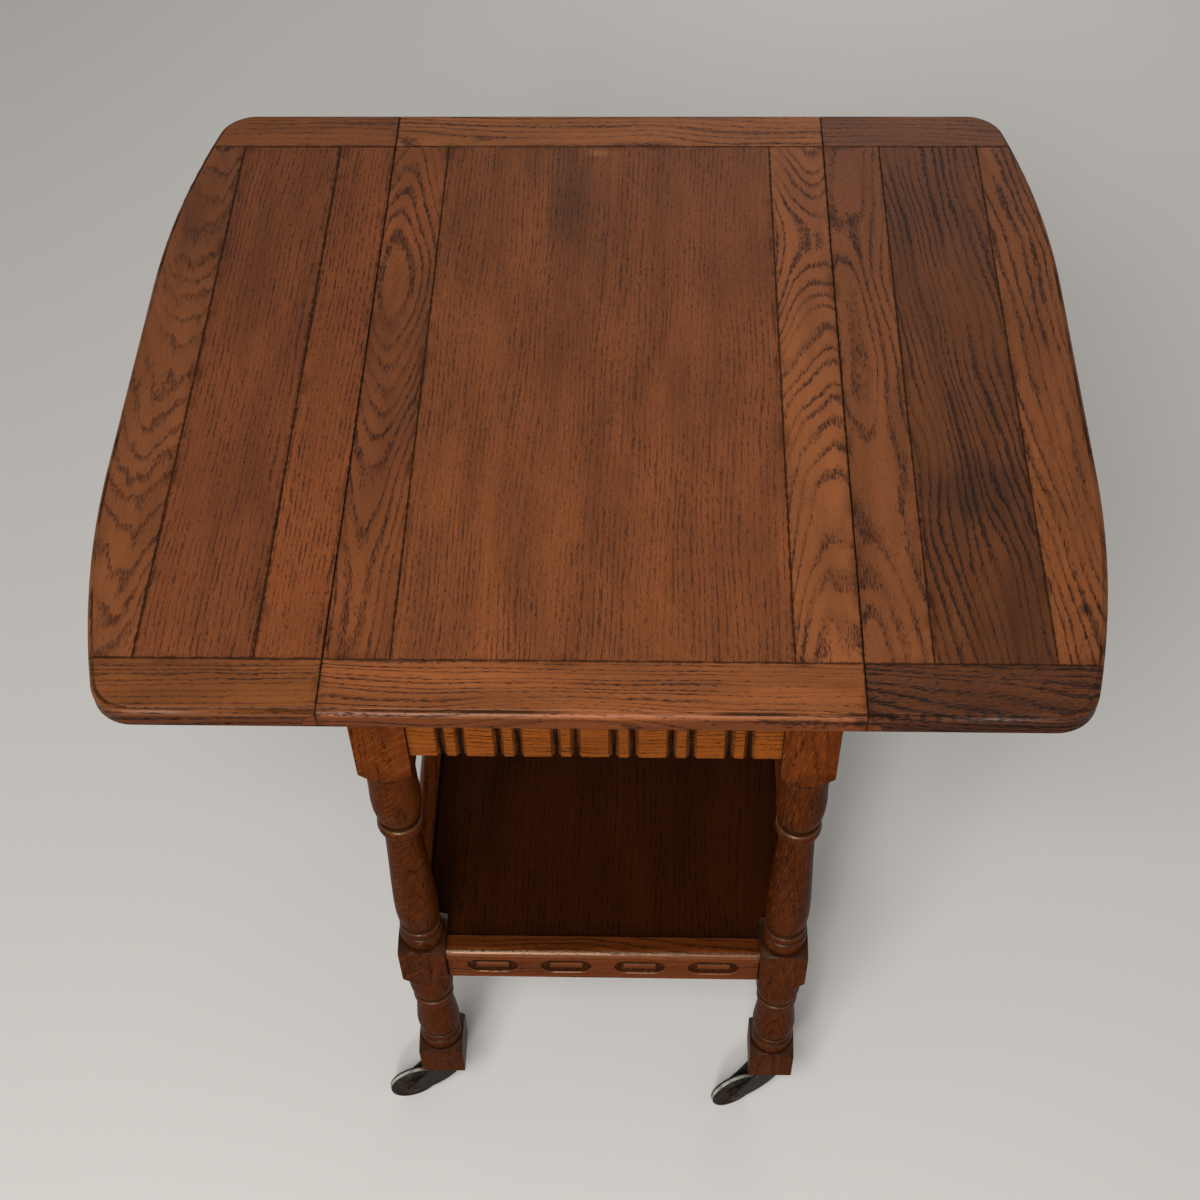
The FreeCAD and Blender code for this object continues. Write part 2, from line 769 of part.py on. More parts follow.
def wheel_ring(outline):
    """Turn an outline of (radius, half width) points, mirrored, into a ring round the axle."""
    ring = outline + [(radius, -across) for radius, across in reversed(outline)]
    points = [Vector(castor_trail + radius, across, wheel_radius) for radius, across in ring]
    return polygon(points).revolve(Vector(castor_trail, 0, wheel_radius), Vector(0, 1, 0), 360)


def castor_wheel():
    """A disc wheel: hub, thin web and rim."""
    seat = wheel_radius - tyre_depth
    rim = seat - rim_depth
    return wheel_ring([
        (axle_radius + running_fit, hub_width / 2),
        (hub_radius, hub_width / 2),
        (hub_radius, wheel_web / 2),
        (rim, wheel_web / 2),
        (rim, rim_width / 2),
        (seat, rim_width / 2),
    ])


def castor_tyre():
    """A rubber tyre with rounded shoulders."""
    seat = wheel_radius - tyre_depth + push_fit
    tyre = wheel_ring([(seat, tyre_width / 2), (wheel_radius, tyre_width / 2)])
    circles = [e for e in tyre.Edges if e.Curve.TypeId == "Part::GeomCircle"]
    outer = [e for e in circles if e.Curve.Radius > seat + push_fit]
    return tyre.makeFillet(tyre_round, outer)


def castor_axle():
    """A riveted axle through both cheeks."""
    length = cheek_outer + cheek_outer
    start = Vector(castor_trail, -cheek_outer, wheel_radius)
    shape = Part.makeCylinder(axle_radius, length, start, Vector(0, 1, 0))
    for way in (-1, 1):
        start = Vector(castor_trail, way * cheek_outer, wheel_radius)
        dome = Part.makeCone(axle_head_radius, axle_radius, axle_head_height, start, Vector(0, way, 0))
        shape = shape.fuse(dome)
    return shape.removeSplitter()


def horn_corners(y):
    """The two top corners of a cheek, and where its edges meet the boss: low, tip and high."""
    def at(x, z):
        return Vector(x, y, z)

    centre = (castor_trail, wheel_radius)
    lean = math.atan2(wheel_radius - crown_bottom, castor_trail)
    turns = (-math.pi / 2, 0, math.pi / 2)
    low, tip, high = [arc_point(centre, horn_boss_radius, lean + turn, at) for turn in turns]
    front_top = at(-horn_crown_radius * horn_front_share, crown_bottom)
    back_top = at(horn_crown_radius * horn_back_share, crown_bottom)
    return front_top, back_top, low, tip, high


def bowed(a, b, towards, share):
    """An arc between two points that bows towards a direction by a share of its length."""
    return arc(a, (a + b) / 2 + towards * ((b - a).Length * share), b)


def horn_cheek(y):
    """One side of the horn: a tapering plate from the crown down to the axle, with a bulging front edge."""
    front_top, back_top, low, tip, high = horn_corners(y)
    forward = (low - high).normalize()
    edges = [
        line(front_top, back_top),
        bowed(back_top, high, forward, horn_hollow_share),
        arc(high, tip, low),
        bowed(low, front_top, forward, horn_bulge_share),
    ]
    return Part.Face(Part.Wire(edges)).extrude(Vector(0, horn_sheet, 0))


def horn_web():
    """The plate that joins the cheeks in front of the wheel, bent along their front edges."""
    front_top, back_top, low, tip, high = horn_corners(-cheek_outer)
    front_edge = bowed(front_top, low, (low - high).normalize(), horn_bulge_share)
    start, end = front_edge.ParameterRange
    foot = start + (end - start) * horn_web_share
    outer = [front_edge.valueAt(place) for place in (start, (start + foot) / 2, foot)]
    inner = [point + Vector(horn_sheet, 0, 0) for point in outer]
    edges = [arc(*outer), line(outer[-1], inner[-1]), arc(*inner), line(inner[0], outer[0])]
    across = Vector(0, cheek_outer + cheek_outer, 0)
    return Part.Face(Part.Wire(edges)).extrude(across)


def castor_horn():
    """The horn: crown and stem, two cheeks, and the web."""
    crown = Part.makeCylinder(horn_crown_radius, horn_crown_thickness, Vector(0, 0, crown_bottom))
    stem = Part.makeCylinder(stem_radius, stem_length + horn_crown_thickness, Vector(0, 0, crown_bottom))
    cheeks = [horn_cheek(-cheek_outer), horn_cheek(cheek_inner)]
    shape = crown.fuse([stem, horn_web()] + cheeks).removeSplitter()
    bore_start = Vector(castor_trail, -cheek_outer - overrun, wheel_radius)
    bore_length = cheek_outer + cheek_outer + overrun + overrun
    return shape.cut(Part.makeCylinder(axle_radius + push_fit, bore_length, bore_start, Vector(0, 1, 0)))


def castor_socket():
    """A sleeve let into the foot, with a plate under it."""
    sleeve = Part.makeCylinder(socket_radius, socket_length, Vector(0, 0, castor_height))
    plate = Part.makeCylinder(socket_plate_radius, socket_plate, Vector(0, 0, castor_height - socket_plate))
    bore_length = socket_length + socket_plate + overrun + overrun
    bore_start = Vector(0, 0, castor_height - socket_plate - overrun)
    bore = Part.makeCylinder(stem_radius + running_fit, bore_length, bore_start)
    return sleeve.fuse(plate).removeSplitter().cut(bore)


def placed(shape, corner):
    """A castor piece at a corner, turned to its resting angle."""
    side, end = corners[corner]
    copy = shape.copy()
    copy.rotate(Vector(0, 0, 0), Vector(0, 0, 1), swivel_angles[corner])
    copy.translate(Vector(side * leg_x, end * leg_y, 0))
    return copy


def build():
    nodes = {}
    hinge_rows = [end * hinge_row for end in (front, back)]
    fixed_flaps, pins, fixed_screws = [], [], []
    block_screws = [block_screw(*place) for place in glue_block_places()]

    centre = centre_slab()
    stile_cuts = {left: [], right: []}
    for name, side in sides.items():
        leaf = leaf_slab(side)
        moving_flaps, moving_screws, leaf_cuts = [], [], []
        for y in hinge_rows:
            fixed, moving, pin, own_fixed_screws, own_moving_screws = hinge(side, y)
            centre_beds, leaf_bed = hinge_beds(side, y)
            fixed_flaps.append(fixed)
            moving_flaps.append(moving)
            pins.append(pin)
            fixed_screws += own_fixed_screws
            moving_screws += own_moving_screws
            stile_cuts[side] += centre_beds + own_fixed_screws
            leaf_cuts += [leaf_bed] + own_moving_screws
        far = side * (half_open + overrun)
        near = side * (half_joint - overrun)
        edge_y = half_depth + overrun
        inner_seam = side * hinge_stile_seam
        outer_seam = side * outer_stile_seam
        hinge_stile = board(leaf, near, inner_seam, -rail_inner_y, rail_inner_y)
        nodes[f"{name}_leaf_hinge_stile"] = hinge_stile.cut(leaf_cuts)
        nodes[f"{name}_leaf_panel"] = board(leaf, inner_seam, outer_seam, -rail_inner_y, rail_inner_y)
        nodes[f"{name}_leaf_outer_stile"] = board(leaf, outer_seam, far, -rail_inner_y, rail_inner_y)
        for end_name, end in ends.items():
            nodes[f"{name}_leaf_{end_name}_rail"] = board(leaf, near, far, end * rail_inner_y, end * edge_y)
        nodes[f"{name}_hinge_moving_flaps"] = Part.makeCompound(moving_flaps)
        nodes[f"{name}_hinge_moving_screws"] = Part.makeCompound(moving_screws)

    wide = half_joint + rule_radius + overrun
    panel = board(centre, -centre_seam, centre_seam, -rail_inner_y, rail_inner_y)
    nodes["centre_panel"] = panel.cut(block_screws)
    for name, side in sides.items():
        stile = board(centre, side * centre_seam, side * wide, -rail_inner_y, rail_inner_y)
        nodes[f"centre_{name}_stile"] = stile.cut(stile_cuts[side] + block_screws)
    for name, end in ends.items():
        end_y = end * (half_depth + overrun)
        nodes[f"centre_{name}_rail"] = board(centre, -wide, wide, end * rail_inner_y, end_y)
    nodes["hinge_fixed_flaps"] = Part.makeCompound(fixed_flaps)
    nodes["hinge_pins"] = Part.makeCompound(pins)
    nodes["hinge_fixed_screws"] = Part.makeCompound(fixed_screws)

    blank = leg_blank()
    for corner, (side, end) in corners.items():
        nodes[f"{corner}_leg"] = leg(blank, side, end)
        nodes[f"{corner}_slide"] = slide(side, end)
    for name, end in ends.items():
        nodes[f"{name}_frieze"] = frieze(end)
        nodes[f"shelf_{name}_rail"] = shelf_end_rail(end)
    for name, side in sides.items():
        nodes[f"{name}_side_rail"] = side_rail(side)
        nodes[f"shelf_{name}_rail"] = shelf_side_rail(side)
        nodes[f"{name}_slide_bearer"] = bearer(side)
    nodes["shelf_panel"] = shelf_panel()
    blocks = [glue_block(*place) for place in glue_block_places()]
    nodes["glue_blocks"] = Part.makeCompound([block.cut(own) for block, own in zip(blocks, block_screws)])
    nodes["top_fixing_screws"] = Part.makeCompound(block_screws)

    pieces = {
        "castor_horn": castor_horn(),
        "castor_axle": castor_axle(),
        "wheel": castor_wheel(),
        "tyre": castor_tyre(),
    }
    for corner in corners:
        for name, shape in pieces.items():
            nodes[f"{corner}_{name}"] = placed(shape, corner)
    socket = castor_socket()
    nodes["castor_sockets"] = Part.makeCompound([placed(socket, corner) for corner in corners])
    return nodes


os.makedirs("parts", exist_ok=True)
for node, shape in build().items():
    solids = shape.Solids
    print(node, len(solids), "solids", "valid" if shape.isValid() else "NOT VALID", round(shape.Volume))
    shape.exportStep(f"parts/{node}.step")
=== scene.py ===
# %% [markdown]
# This lesson dresses a drop leaf tea trolley in waxed oak. Its solids come packed at their real size, in
# metres, so nothing is moved or fitted. We load them, keep their box, and note each node's body and
# finish.

# %% Load the trolley
import json
import math

import bmesh
import bpy
from mathutils import Euler, Matrix, Vector


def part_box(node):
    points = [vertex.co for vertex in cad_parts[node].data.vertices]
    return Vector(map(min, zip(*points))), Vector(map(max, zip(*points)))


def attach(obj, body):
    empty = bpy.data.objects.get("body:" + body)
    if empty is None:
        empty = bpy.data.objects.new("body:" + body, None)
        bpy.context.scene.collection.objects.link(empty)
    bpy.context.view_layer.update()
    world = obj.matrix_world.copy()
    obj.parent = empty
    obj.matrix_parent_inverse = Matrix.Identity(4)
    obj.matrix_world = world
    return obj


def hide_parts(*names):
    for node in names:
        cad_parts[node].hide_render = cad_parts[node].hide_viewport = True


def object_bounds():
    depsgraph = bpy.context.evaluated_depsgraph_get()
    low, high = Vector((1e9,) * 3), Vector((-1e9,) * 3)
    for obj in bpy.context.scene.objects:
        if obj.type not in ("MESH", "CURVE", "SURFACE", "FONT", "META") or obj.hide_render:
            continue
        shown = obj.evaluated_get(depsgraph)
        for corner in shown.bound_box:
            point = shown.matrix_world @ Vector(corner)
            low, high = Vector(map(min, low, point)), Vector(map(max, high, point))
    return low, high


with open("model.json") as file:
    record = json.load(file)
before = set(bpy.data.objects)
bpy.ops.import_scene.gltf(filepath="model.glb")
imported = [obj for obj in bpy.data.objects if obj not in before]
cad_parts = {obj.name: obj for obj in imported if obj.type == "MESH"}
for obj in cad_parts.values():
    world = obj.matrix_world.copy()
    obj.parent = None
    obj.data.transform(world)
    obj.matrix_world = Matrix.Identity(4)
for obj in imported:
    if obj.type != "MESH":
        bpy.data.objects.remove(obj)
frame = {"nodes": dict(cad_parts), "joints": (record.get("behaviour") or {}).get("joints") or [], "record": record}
cad_low, cad_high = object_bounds()
scene = bpy.context.scene
joints = {joint["name"]: joint for joint in frame["joints"]}
body_of = {node: body for body, nodes in frame["record"]["behaviour"]["bodies"].items() for node in nodes}
slot_of = {part["node"]: part["material_slot"] for part in frame["record"]["subparts"]}
mm = 0.001
print("loaded", len(frame["nodes"]), "nodes,", [round(side, 3) for side in cad_high - cad_low], "m")

# %% [markdown]
# The photograph looks down from in front, a little right of the middle. The seams and legs in it gave the
# camera's place, angles and focal length. A Blender camera looks along its own -Z with +Y up, so the angles
# become three directions, the columns of its matrix.

# %% Camera
camera_place = Vector((0.0441, -1.0996, 1.8834))
camera_yaw = -0.046
camera_pitch = -0.9057
camera_roll = -0.0288
focal_px = 1852
image_px = 1200
sensor_mm = 36

ahead = Vector((
    math.sin(camera_yaw) * math.cos(camera_pitch),
    math.cos(camera_yaw) * math.cos(camera_pitch),
    math.sin(camera_pitch),
))
level = Vector((math.cos(camera_yaw), -math.sin(camera_yaw), 0))
upright = level.cross(ahead)
across = math.cos(camera_roll) * level + math.sin(camera_roll) * upright
above = math.cos(camera_roll) * upright - math.sin(camera_roll) * level

camera = bpy.data.objects.new("camera", bpy.data.cameras.new("camera"))
camera.data.sensor_width = sensor_mm
camera.data.lens = focal_px / image_px * sensor_mm
turn = Matrix((across, above, -ahead)).transposed().to_4x4()
camera.matrix_world = Matrix.Translation(camera_place) @ turn
scene.collection.objects.link(camera)
scene.camera = camera
scene.view_settings.view_transform = "Standard"
print("camera lens", round(camera.data.lens, 1), "mm")

# %% [markdown]
# A studio for furniture is a pale floor under soft light. An even grey world fills the shadows, and the waxed
# top mirrors it as a faint sheen. One broad lamp does the modelling, a small one draws thin glints on the beads
# and noses, and a weak one fills the back. Each is given as watts, width and place.

# %% Light
sky_colour = (1, 0.985, 0.96, 1)
sky_level = 0.34
lamps = {
    "key": (47, 0.9, Vector((-0.35, -1.6, 2.4))),
    "glint": (14, 0.26, Vector((-0.3, -2, 1.4))),
    "back": (8, 1.2, Vector((0.5, 2.4, 1.1))),
}
lamp_aim = Vector((0, -0.1, 0.6))

scene.world = bpy.data.worlds.new("studio")
scene.world.use_nodes = True
sky = scene.world.node_tree.nodes["Background"]
sky.inputs["Color"].default_value = sky_colour
sky.inputs["Strength"].default_value = sky_level

for name, (watts, size, place) in lamps.items():
    lamp = bpy.data.objects.new(name, bpy.data.lights.new(name, "AREA"))
    lamp.data.energy = watts
    lamp.data.size = size
    lamp.visible_camera = False
    turn = (lamp_aim - place).to_track_quat("-Z", "Y").to_matrix().to_4x4()
    lamp.matrix_world = Matrix.Translation(place) @ turn
    scene.collection.objects.link(lamp)
print("studio lit by", len(lamps), "lamps")

# %% [markdown]
# Every mesh is built as a bmesh and then becomes an object at the origin, shaded smooth, with its sharp edges
# marked so that they stay crisp. The floor is the plainest.

# %% Floor
crisp_angle = math.radians(32)
floor_size = 9
floor_colour = (0.62, 0.60, 0.57, 1)
floor_roughness = 0.7


def object_from(bm, name):
    """Turn a bmesh into an object at the origin, with smooth faces and true sharp edges."""
    mesh = bpy.data.meshes.new(name)
    bm.to_mesh(mesh)
    bm.free()
    mesh.shade_smooth()
    mesh.set_sharp_from_angle(angle=crisp_angle)
    thing = bpy.data.objects.new(name, mesh)
    scene.collection.objects.link(thing)
    return thing


bm = bmesh.new()
bmesh.ops.create_grid(bm, x_segments=1, y_segments=1, size=floor_size / 2)
floor = object_from(bm, "floor")
floor_finish = bpy.data.materials.new("pale_floor")
floor_finish.use_nodes = True
floor_shader = floor_finish.node_tree.nodes["Principled BSDF"]
floor_shader.inputs["Base Color"].default_value = floor_colour
floor_shader.inputs["Roughness"].default_value = floor_roughness
floor.data.materials.append(floor_finish)
print("floor", floor_size, "m wide")

# %% [markdown]
# A material is a graph of nodes, and a graph written as code gets long. These helpers keep it readable: one
# adds a node and fills its sockets, and the others add what every finish needs, such as a product, a smooth
# step, a mix or stretched noise.

# %% Node helpers


class Graph:
    """A node tree with short ways to add nodes to it."""

    def __init__(self, tree):
        self.tree = tree

    def add(self, kind, sockets=None, **settings):
        node = self.tree.nodes.new(kind)
        for name, value in settings.items():
            setattr(node, name, value)
        for name, value in (sockets or {}).items():
            self.put(node.inputs[name], value)
        return node

    def put(self, socket, value):
        """Link a socket, or set it."""
        if isinstance(value, bpy.types.NodeSocket):
            self.tree.links.new(value, socket)
        else:
            socket.default_value = value

    def maths(self, operation, *values):
        return self.add("ShaderNodeMath", dict(enumerate(values)), operation=operation).outputs[0]

    def times(self, value, factor, *plus):
        """A product, or a product plus one more value."""
        return self.maths("MULTIPLY_ADD" if plus else "MULTIPLY", value, factor, *plus)

    def vector(self, operation, *values):
        node = self.add("ShaderNodeVectorMath", dict(enumerate(values)), operation=operation)
        return node.outputs["Value" if operation in ("LENGTH", "DOT_PRODUCT") else "Vector"]

    def coordinate(self, vector, axis):
        return self.add("ShaderNodeSeparateXYZ", {0: vector}).outputs[axis]

    def step(self, value, low, high, start=0, end=1):
        """A smooth step from start to end as the value goes from low to high."""
        sockets = {0: value, 1: low, 2: high, 3: start, 4: end}
        return self.add("ShaderNodeMapRange", sockets, interpolation_type="SMOOTHSTEP").outputs[0]

    def fall(self, value, low, high):
        return self.step(value, low, high, 1, 0)

    def window(self, value, rise, fall):
        """1 between a smooth rise and a smooth fall, each given as (low, high), and 0 outside them."""
        return self.times(self.step(value, *rise), self.fall(value, *fall))

    def mix(self, share, first, second, blend="MIX"):
        sockets = {0: share, 6: first, 7: second}
        return self.add("ShaderNodeMix", sockets, data_type="RGBA", blend_type=blend).outputs[2]

    def noise(self, vector, size, detail, scale=1):
        """Noise from 0 to 1 whose grains are size long on each axis, in the vector's own units."""
        sockets = {"Vector": self.vector("DIVIDE", vector, size), "Scale": scale, "Detail": detail}
        return self.add("ShaderNodeTexNoise", sockets).outputs[0]

    def sway(self, vector, size, detail):
        """Noise from -0.5 to 0.5."""
        return self.maths("SUBTRACT", self.noise(vector, size, detail), 0.5)

    def patches(self, vector, size, detail, *levels):
        """Noise sharpened by a smooth step, whose levels are (low, high) or (low, high, start, end)."""
        return self.step(self.noise(vector, size, detail), *levels)


def shader_group(name, vectors, values, outputs):
    """An empty group with vector inputs, value inputs and value outputs of these names."""
    tree = bpy.data.node_groups.new(name, "ShaderNodeTree")
    for title in (*vectors, *values):
        kind = "NodeSocketVector" if title in vectors else "NodeSocketFloat"
        tree.interface.new_socket(name=title, in_out="INPUT", socket_type=kind)
    for title in outputs:
        tree.interface.new_socket(name=title, in_out="OUTPUT", socket_type="NodeSocketFloat")
    graph = Graph(tree)
    return graph, graph.add("NodeGroupInput").outputs, graph.add("NodeGroupOutput").inputs


def use(graph, group, **sockets):
    """Place a shader group and fill its inputs."""
    return graph.add("ShaderNodeGroup", sockets, node_tree=group.tree).outputs


print("node helpers ready")

# %% [markdown]
# Oak's figure is the tree cut open: cylinders of growth round the pith, each starting with a band of open
# pores. So the pattern is the distance from a pith line beside or below the board. A pith far to the side gives
# straight lines, and one close below gives arches. A trunk tapers and bends: a bend away from the face closes
# the rings to islands, and one towards it gives nested garlands. Lengths are in millimetres, with the grain
# along Y, and the bend counts from the pith's Y. Noises are given as (size, detail).

# %% Oak figure: rings
figure_values = ("ring", "taper", "bend", "wander", "ripple", "broken", "fine", "open_at", "seed")
seed_step = (173, 511, 97)
bend_length = 100
bend_limit = 0.25
wander_noise = ((60, 210, 60), 1)
years_noise, years_sway = ((1.7, 1, 1), 1), 1.6
ripple_noise = ((9, 34, 9), 2)
ragged_noise, ragged_sway = ((1.1, 5, 1.1), 1), 0.5

figure, given, result = shader_group(
    "oak_figure", ("place", "pith"), figure_values, ("band", "pores", "fibre", "mottle"))
sockets = {0: seed_step, "Scale": given["seed"]}
shift = figure.add("ShaderNodeVectorMath", sockets, operation="SCALE").outputs["Vector"]
place = figure.vector("ADD", given["place"], shift)

from_pith = figure.vector("SUBTRACT", given["place"], given["pith"])
along = figure.coordinate(from_pith, "Y")
radius = figure.vector("LENGTH", figure.vector("MULTIPLY", from_pith, (1, 0, 1)))
radius = figure.times(along, given["taper"], radius)
squared = figure.maths("POWER", figure.maths("DIVIDE", along, bend_length), 2)
bent = figure.maths("DIVIDE", squared, figure.times(squared, bend_limit, 1))
radius = figure.times(bent, given["bend"], radius)
radius = figure.times(figure.sway(place, *wander_noise), figure.times(given["wander"], 2), radius)
rings = figure.maths("DIVIDE", radius, given["ring"])

years = figure.add("ShaderNodeCombineXYZ", {0: rings, 1: given["seed"]}).outputs[0]
rings = figure.times(figure.sway(years, *years_noise), years_sway, rings)
rings = figure.times(figure.sway(place, *ripple_noise), given["ripple"], rings)
rings = figure.times(figure.sway(place, *ragged_noise), ragged_sway, rings)
print("rings take", len(figure.tree.nodes), "nodes")

# %% [markdown]
# The whole part of that number counts the rings, and the rest tells where in its ring a point lies. A band
# rises quickly, fades slowly and may be broken into dashes. Pores are noise drawn out along the grain, and they
# crowd into the bands.

# %% Oak figure: bands and pores
band_rise, band_fall = (0, 0.1), (0.16, 0.55)
strong_patches = ((32, 110, 32), 1, 0.3, 0.62, 0.35, 1)
dash_patches = ((1.6, 15, 1.6), 1, 0.4, 0.6)
pore_noise = ((0.75, 6, 0.75), 2)
pore_crowding = -0.23
pore_rim = (-0.05, 0.06)
fibre_noise = ((0.7, 18, 0.7), 3)
mottle_noise = ((26, 150, 26), 4)

band = figure.window(figure.maths("FRACT", rings), band_rise, band_fall)
gaps = figure.maths("SUBTRACT", 1, figure.patches(place, *dash_patches))
kept = figure.maths("SUBTRACT", 1, figure.times(given["broken"], gaps))
band = figure.times(figure.times(band, figure.patches(place, *strong_patches)), kept)

pore_level = figure.times(band, pore_crowding, given["open_at"])
above_level = figure.maths("SUBTRACT", figure.noise(place, *pore_noise, given["fine"]), pore_level)
figure.put(result["band"], band)
figure.put(result["pores"], figure.step(above_level, *pore_rim))
figure.put(result["fibre"], figure.noise(place, *fibre_noise))
figure.put(result["mottle"], figure.noise(place, *mottle_noise))
print("oak figure has", len(figure.tree.nodes), "nodes")

# %% [markdown]
# Two more effects are shared, in metres. A soft spot is an oval mark with a ragged rim: a stain, a knot or a
# worn patch. Seam dirt is the dark line that wax and dust leave where boards meet, with a wider smudge in
# places, and each board passes in the planes of its seams.

# %% Soft spots and seam dirt
rim_noise, rim_wobble = ((0.012, 0.03, 0.012), 3), 0.9
spot, given, result = shader_group("soft_spot", ("place", "centre", "size"), ("rim",), ("mask",))
offset = spot.vector("DIVIDE", spot.vector("SUBTRACT", given["place"], given["centre"]), given["size"])
wobble = spot.sway(given["place"], *rim_noise)
distance = spot.times(wobble, rim_wobble, spot.vector("LENGTH", offset))
inner = spot.maths("SUBTRACT", 1, given["rim"])
outer = spot.maths("ADD", 1, given["rim"])
spot.put(result["mask"], spot.fall(distance, inner, outer))

line_widths = ((0.006, 0.006, 0.006), 3, 0.3, 0.7, 0.5, 1.5)
line_fall = (0.15, 1)
smudge_patches = ((0.03, 0.03, 0.03), 3, 0.48, 0.68, 0, 0.55)
smudge_fall = (0.5, 5)
seam, given, result = shader_group("seam_dirt", ("place", "low", "high"), ("reach",), ("mask",))
above_low = seam.vector("ABSOLUTE", seam.vector("SUBTRACT", given["place"], given["low"]))
below_high = seam.vector("ABSOLUTE", seam.vector("SUBTRACT", given["high"], given["place"]))
nearest = seam.vector("MINIMUM", above_low, below_high)
distance = seam.maths("MINIMUM", seam.coordinate(nearest, "X"), seam.coordinate(nearest, "Y"))
reach = seam.times(given["reach"], seam.patches(given["place"], *line_widths))
line = seam.fall(seam.maths("DIVIDE", distance, reach), *line_fall)
smudge = seam.fall(seam.maths("DIVIDE", distance, given["reach"]), *smudge_fall)
smudge = seam.times(smudge, seam.patches(given["place"], *smudge_patches))
seam.put(result["mask"], seam.maths("MAXIMUM", line, smudge))
print("soft_spot and seam_dirt ready")

# %% [markdown]
# A look is a table of values, and a board names only those that differ from plain oak. Pith is (across, along,
# up) from the board's centre, in millimetres like ring and bend. The board is turned so that its grain lies
# along Y, and the oak figure gives its bands and pores.

# %% The look of a board
clear_wax = (1, 1, 1, 1)
brown_wax = (1, 0.7, 0.45, 1)
plain_oak = dict(
    grain="y", pith=(0, 0, -60), ring=5, taper=0.02, bend=0, wander=10, ripple=0.6, broken=0.3, fine=1,
    open_at=0.68, fibre=0.44, contrast=1, flecks=0, slant=0, marks=(), veneer=None, edge=None, corner_dirt_and_shade=1,
    seams=None, seam_reach=1.7, sunk=None, stain_and_shade=None, polish=0.34, gloss=0.24, rubbed_gloss=0.2, wax=clear_wax,
)
grain_turns = {"x": (0, 0, math.pi / 2), "y": (0, 0, 0), "z": (-math.pi / 2, 0, 0)}


def middle_of(node):
    low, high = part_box(node)
    return (low + high) / 2


def new_finish(name):
    """A new material, its graph, its shader and the place on the surface."""
    material = bpy.data.materials.new(name)
    material.use_nodes = True
    graph = Graph(material.node_tree)
    shader = material.node_tree.nodes["Principled BSDF"]
    return material, graph, shader, graph.add("ShaderNodeTexCoord").outputs["Object"]


def board_figure(graph, here, centre, look):
    """The place in the board's own millimetres, and the oak figure there."""
    turn = grain_turns[look["grain"]]
    centre_mm = Euler(turn).to_matrix() @ Vector(centre) / mm
    sockets = {"Vector": here, "Scale": (1 / mm,) * 3, "Rotation": turn, "Location": -centre_mm}
    board = graph.add("ShaderNodeMapping", sockets).outputs[0]
    values = {name: look[name] for name in figure_values}
    return board, use(graph, figure, place=board, pith=look["pith"], **values)


print("plain oak has", len(plain_oak), "values")

# %% [markdown]
# The tone is the colour between the pores, and bands and pores are darker shares of it. Flecks are the pale
# rays of quartered oak, at a slant. Marks are soft spots, as (centre, size, rim, tint, weight). Veneer is one
# darker leaf with straight sides, as (left, right, y where faint, y where full, tint, least share). Edge is the
# height of the top's face: the moulded edge below it is darker, partly from hands and old polish and partly
# as painted shade, for the upright nose that gets less light.

# %% Colour of the wood
light_tint = (1.35, 1.35, 1.35)
band_tint = (0.70, 0.66, 0.66)
pore_tint = (0.27, 0.25, 0.28)
pore_share = 0.85
mottle_shades = (0.25, 0.75, 0.78, 1.2)
fleck_tint = (1.6, 1.75, 1.8)
fleck_patches = ((1.3, 16, 6), 2, 0.54, 0.66)
veneer_joint = 1
veneer_patches = ((0.02, 0.05, 0.02), 3, 0.3, 0.7, 0.6, 1)
edge_polish_and_shade_tint = (0.56, 0.45, 0.3, 1)
edge_depths = (2.5 * mm, 6.5 * mm)


def tinted(colour, tint, power=1):
    """A colour times a power of a tint, with an alpha of 1."""
    return (*(part * share ** power for part, share in zip(colour, tint)), 1)


def in_metres(*lengths):
    return tuple(length * mm for length in lengths)


def veneer_share(graph, here, left, right, faint_at, full_at, least):
    sides = [in_metres(side - veneer_joint, side + veneer_joint) for side in (left, right)]
    inside = graph.window(graph.coordinate(here, "X"), *sides)
    fade = graph.step(graph.coordinate(here, "Y"), *in_metres(faint_at, full_at), least, 1)
    return graph.times(inside, graph.times(graph.patches(here, *veneer_patches), fade))


def wood_colour(graph, here, board, oak, look):
    light = tinted(look["tone"], light_tint)
    colour = graph.mix(oak["band"], light, tinted(light, band_tint, look["contrast"]))
    pored = tinted(light, pore_tint, look["contrast"])
    colour = graph.mix(graph.times(oak["pores"], pore_share), colour, pored)
    shade = graph.times(oak["fibre"], look["fibre"], 1 - 0.5 * look["fibre"])
    shade = graph.times(shade, graph.step(oak["mottle"], *mottle_shades))
    colour = graph.mix(1, colour, shade, "MULTIPLY")
    if look["flecks"]:
        sockets = {"Vector": board, "Angle": look["slant"]}
        leaning = graph.add("ShaderNodeVectorRotate", sockets, rotation_type="Z_AXIS").outputs[0]
        share = graph.times(graph.patches(leaning, *fleck_patches), look["flecks"])
        colour = graph.mix(share, colour, tinted(light, fleck_tint))
    for centre, size, rim, tint, weight in look["marks"]:
        mark = use(graph, spot, place=here, centre=in_metres(*centre), size=in_metres(*size), rim=rim)
        colour = graph.mix(graph.times(mark["mask"], weight), colour, (*tint, 1), "MULTIPLY")
    if look["veneer"]:
        *shape, tint, least = look["veneer"]
        colour = graph.mix(veneer_share(graph, here, *shape, least), colour, (*tint, 1), "MULTIPLY")
    # Painted shade and old polish: the moulded edge below the top's face is darkened.
    if look["edge"]:
        below = graph.maths("SUBTRACT", look["edge"], graph.coordinate(here, "Z"))
        colour = graph.mix(graph.step(below, *edge_depths), colour, edge_polish_and_shade_tint, "MULTIPLY")
    return colour


print("wood colour ready")
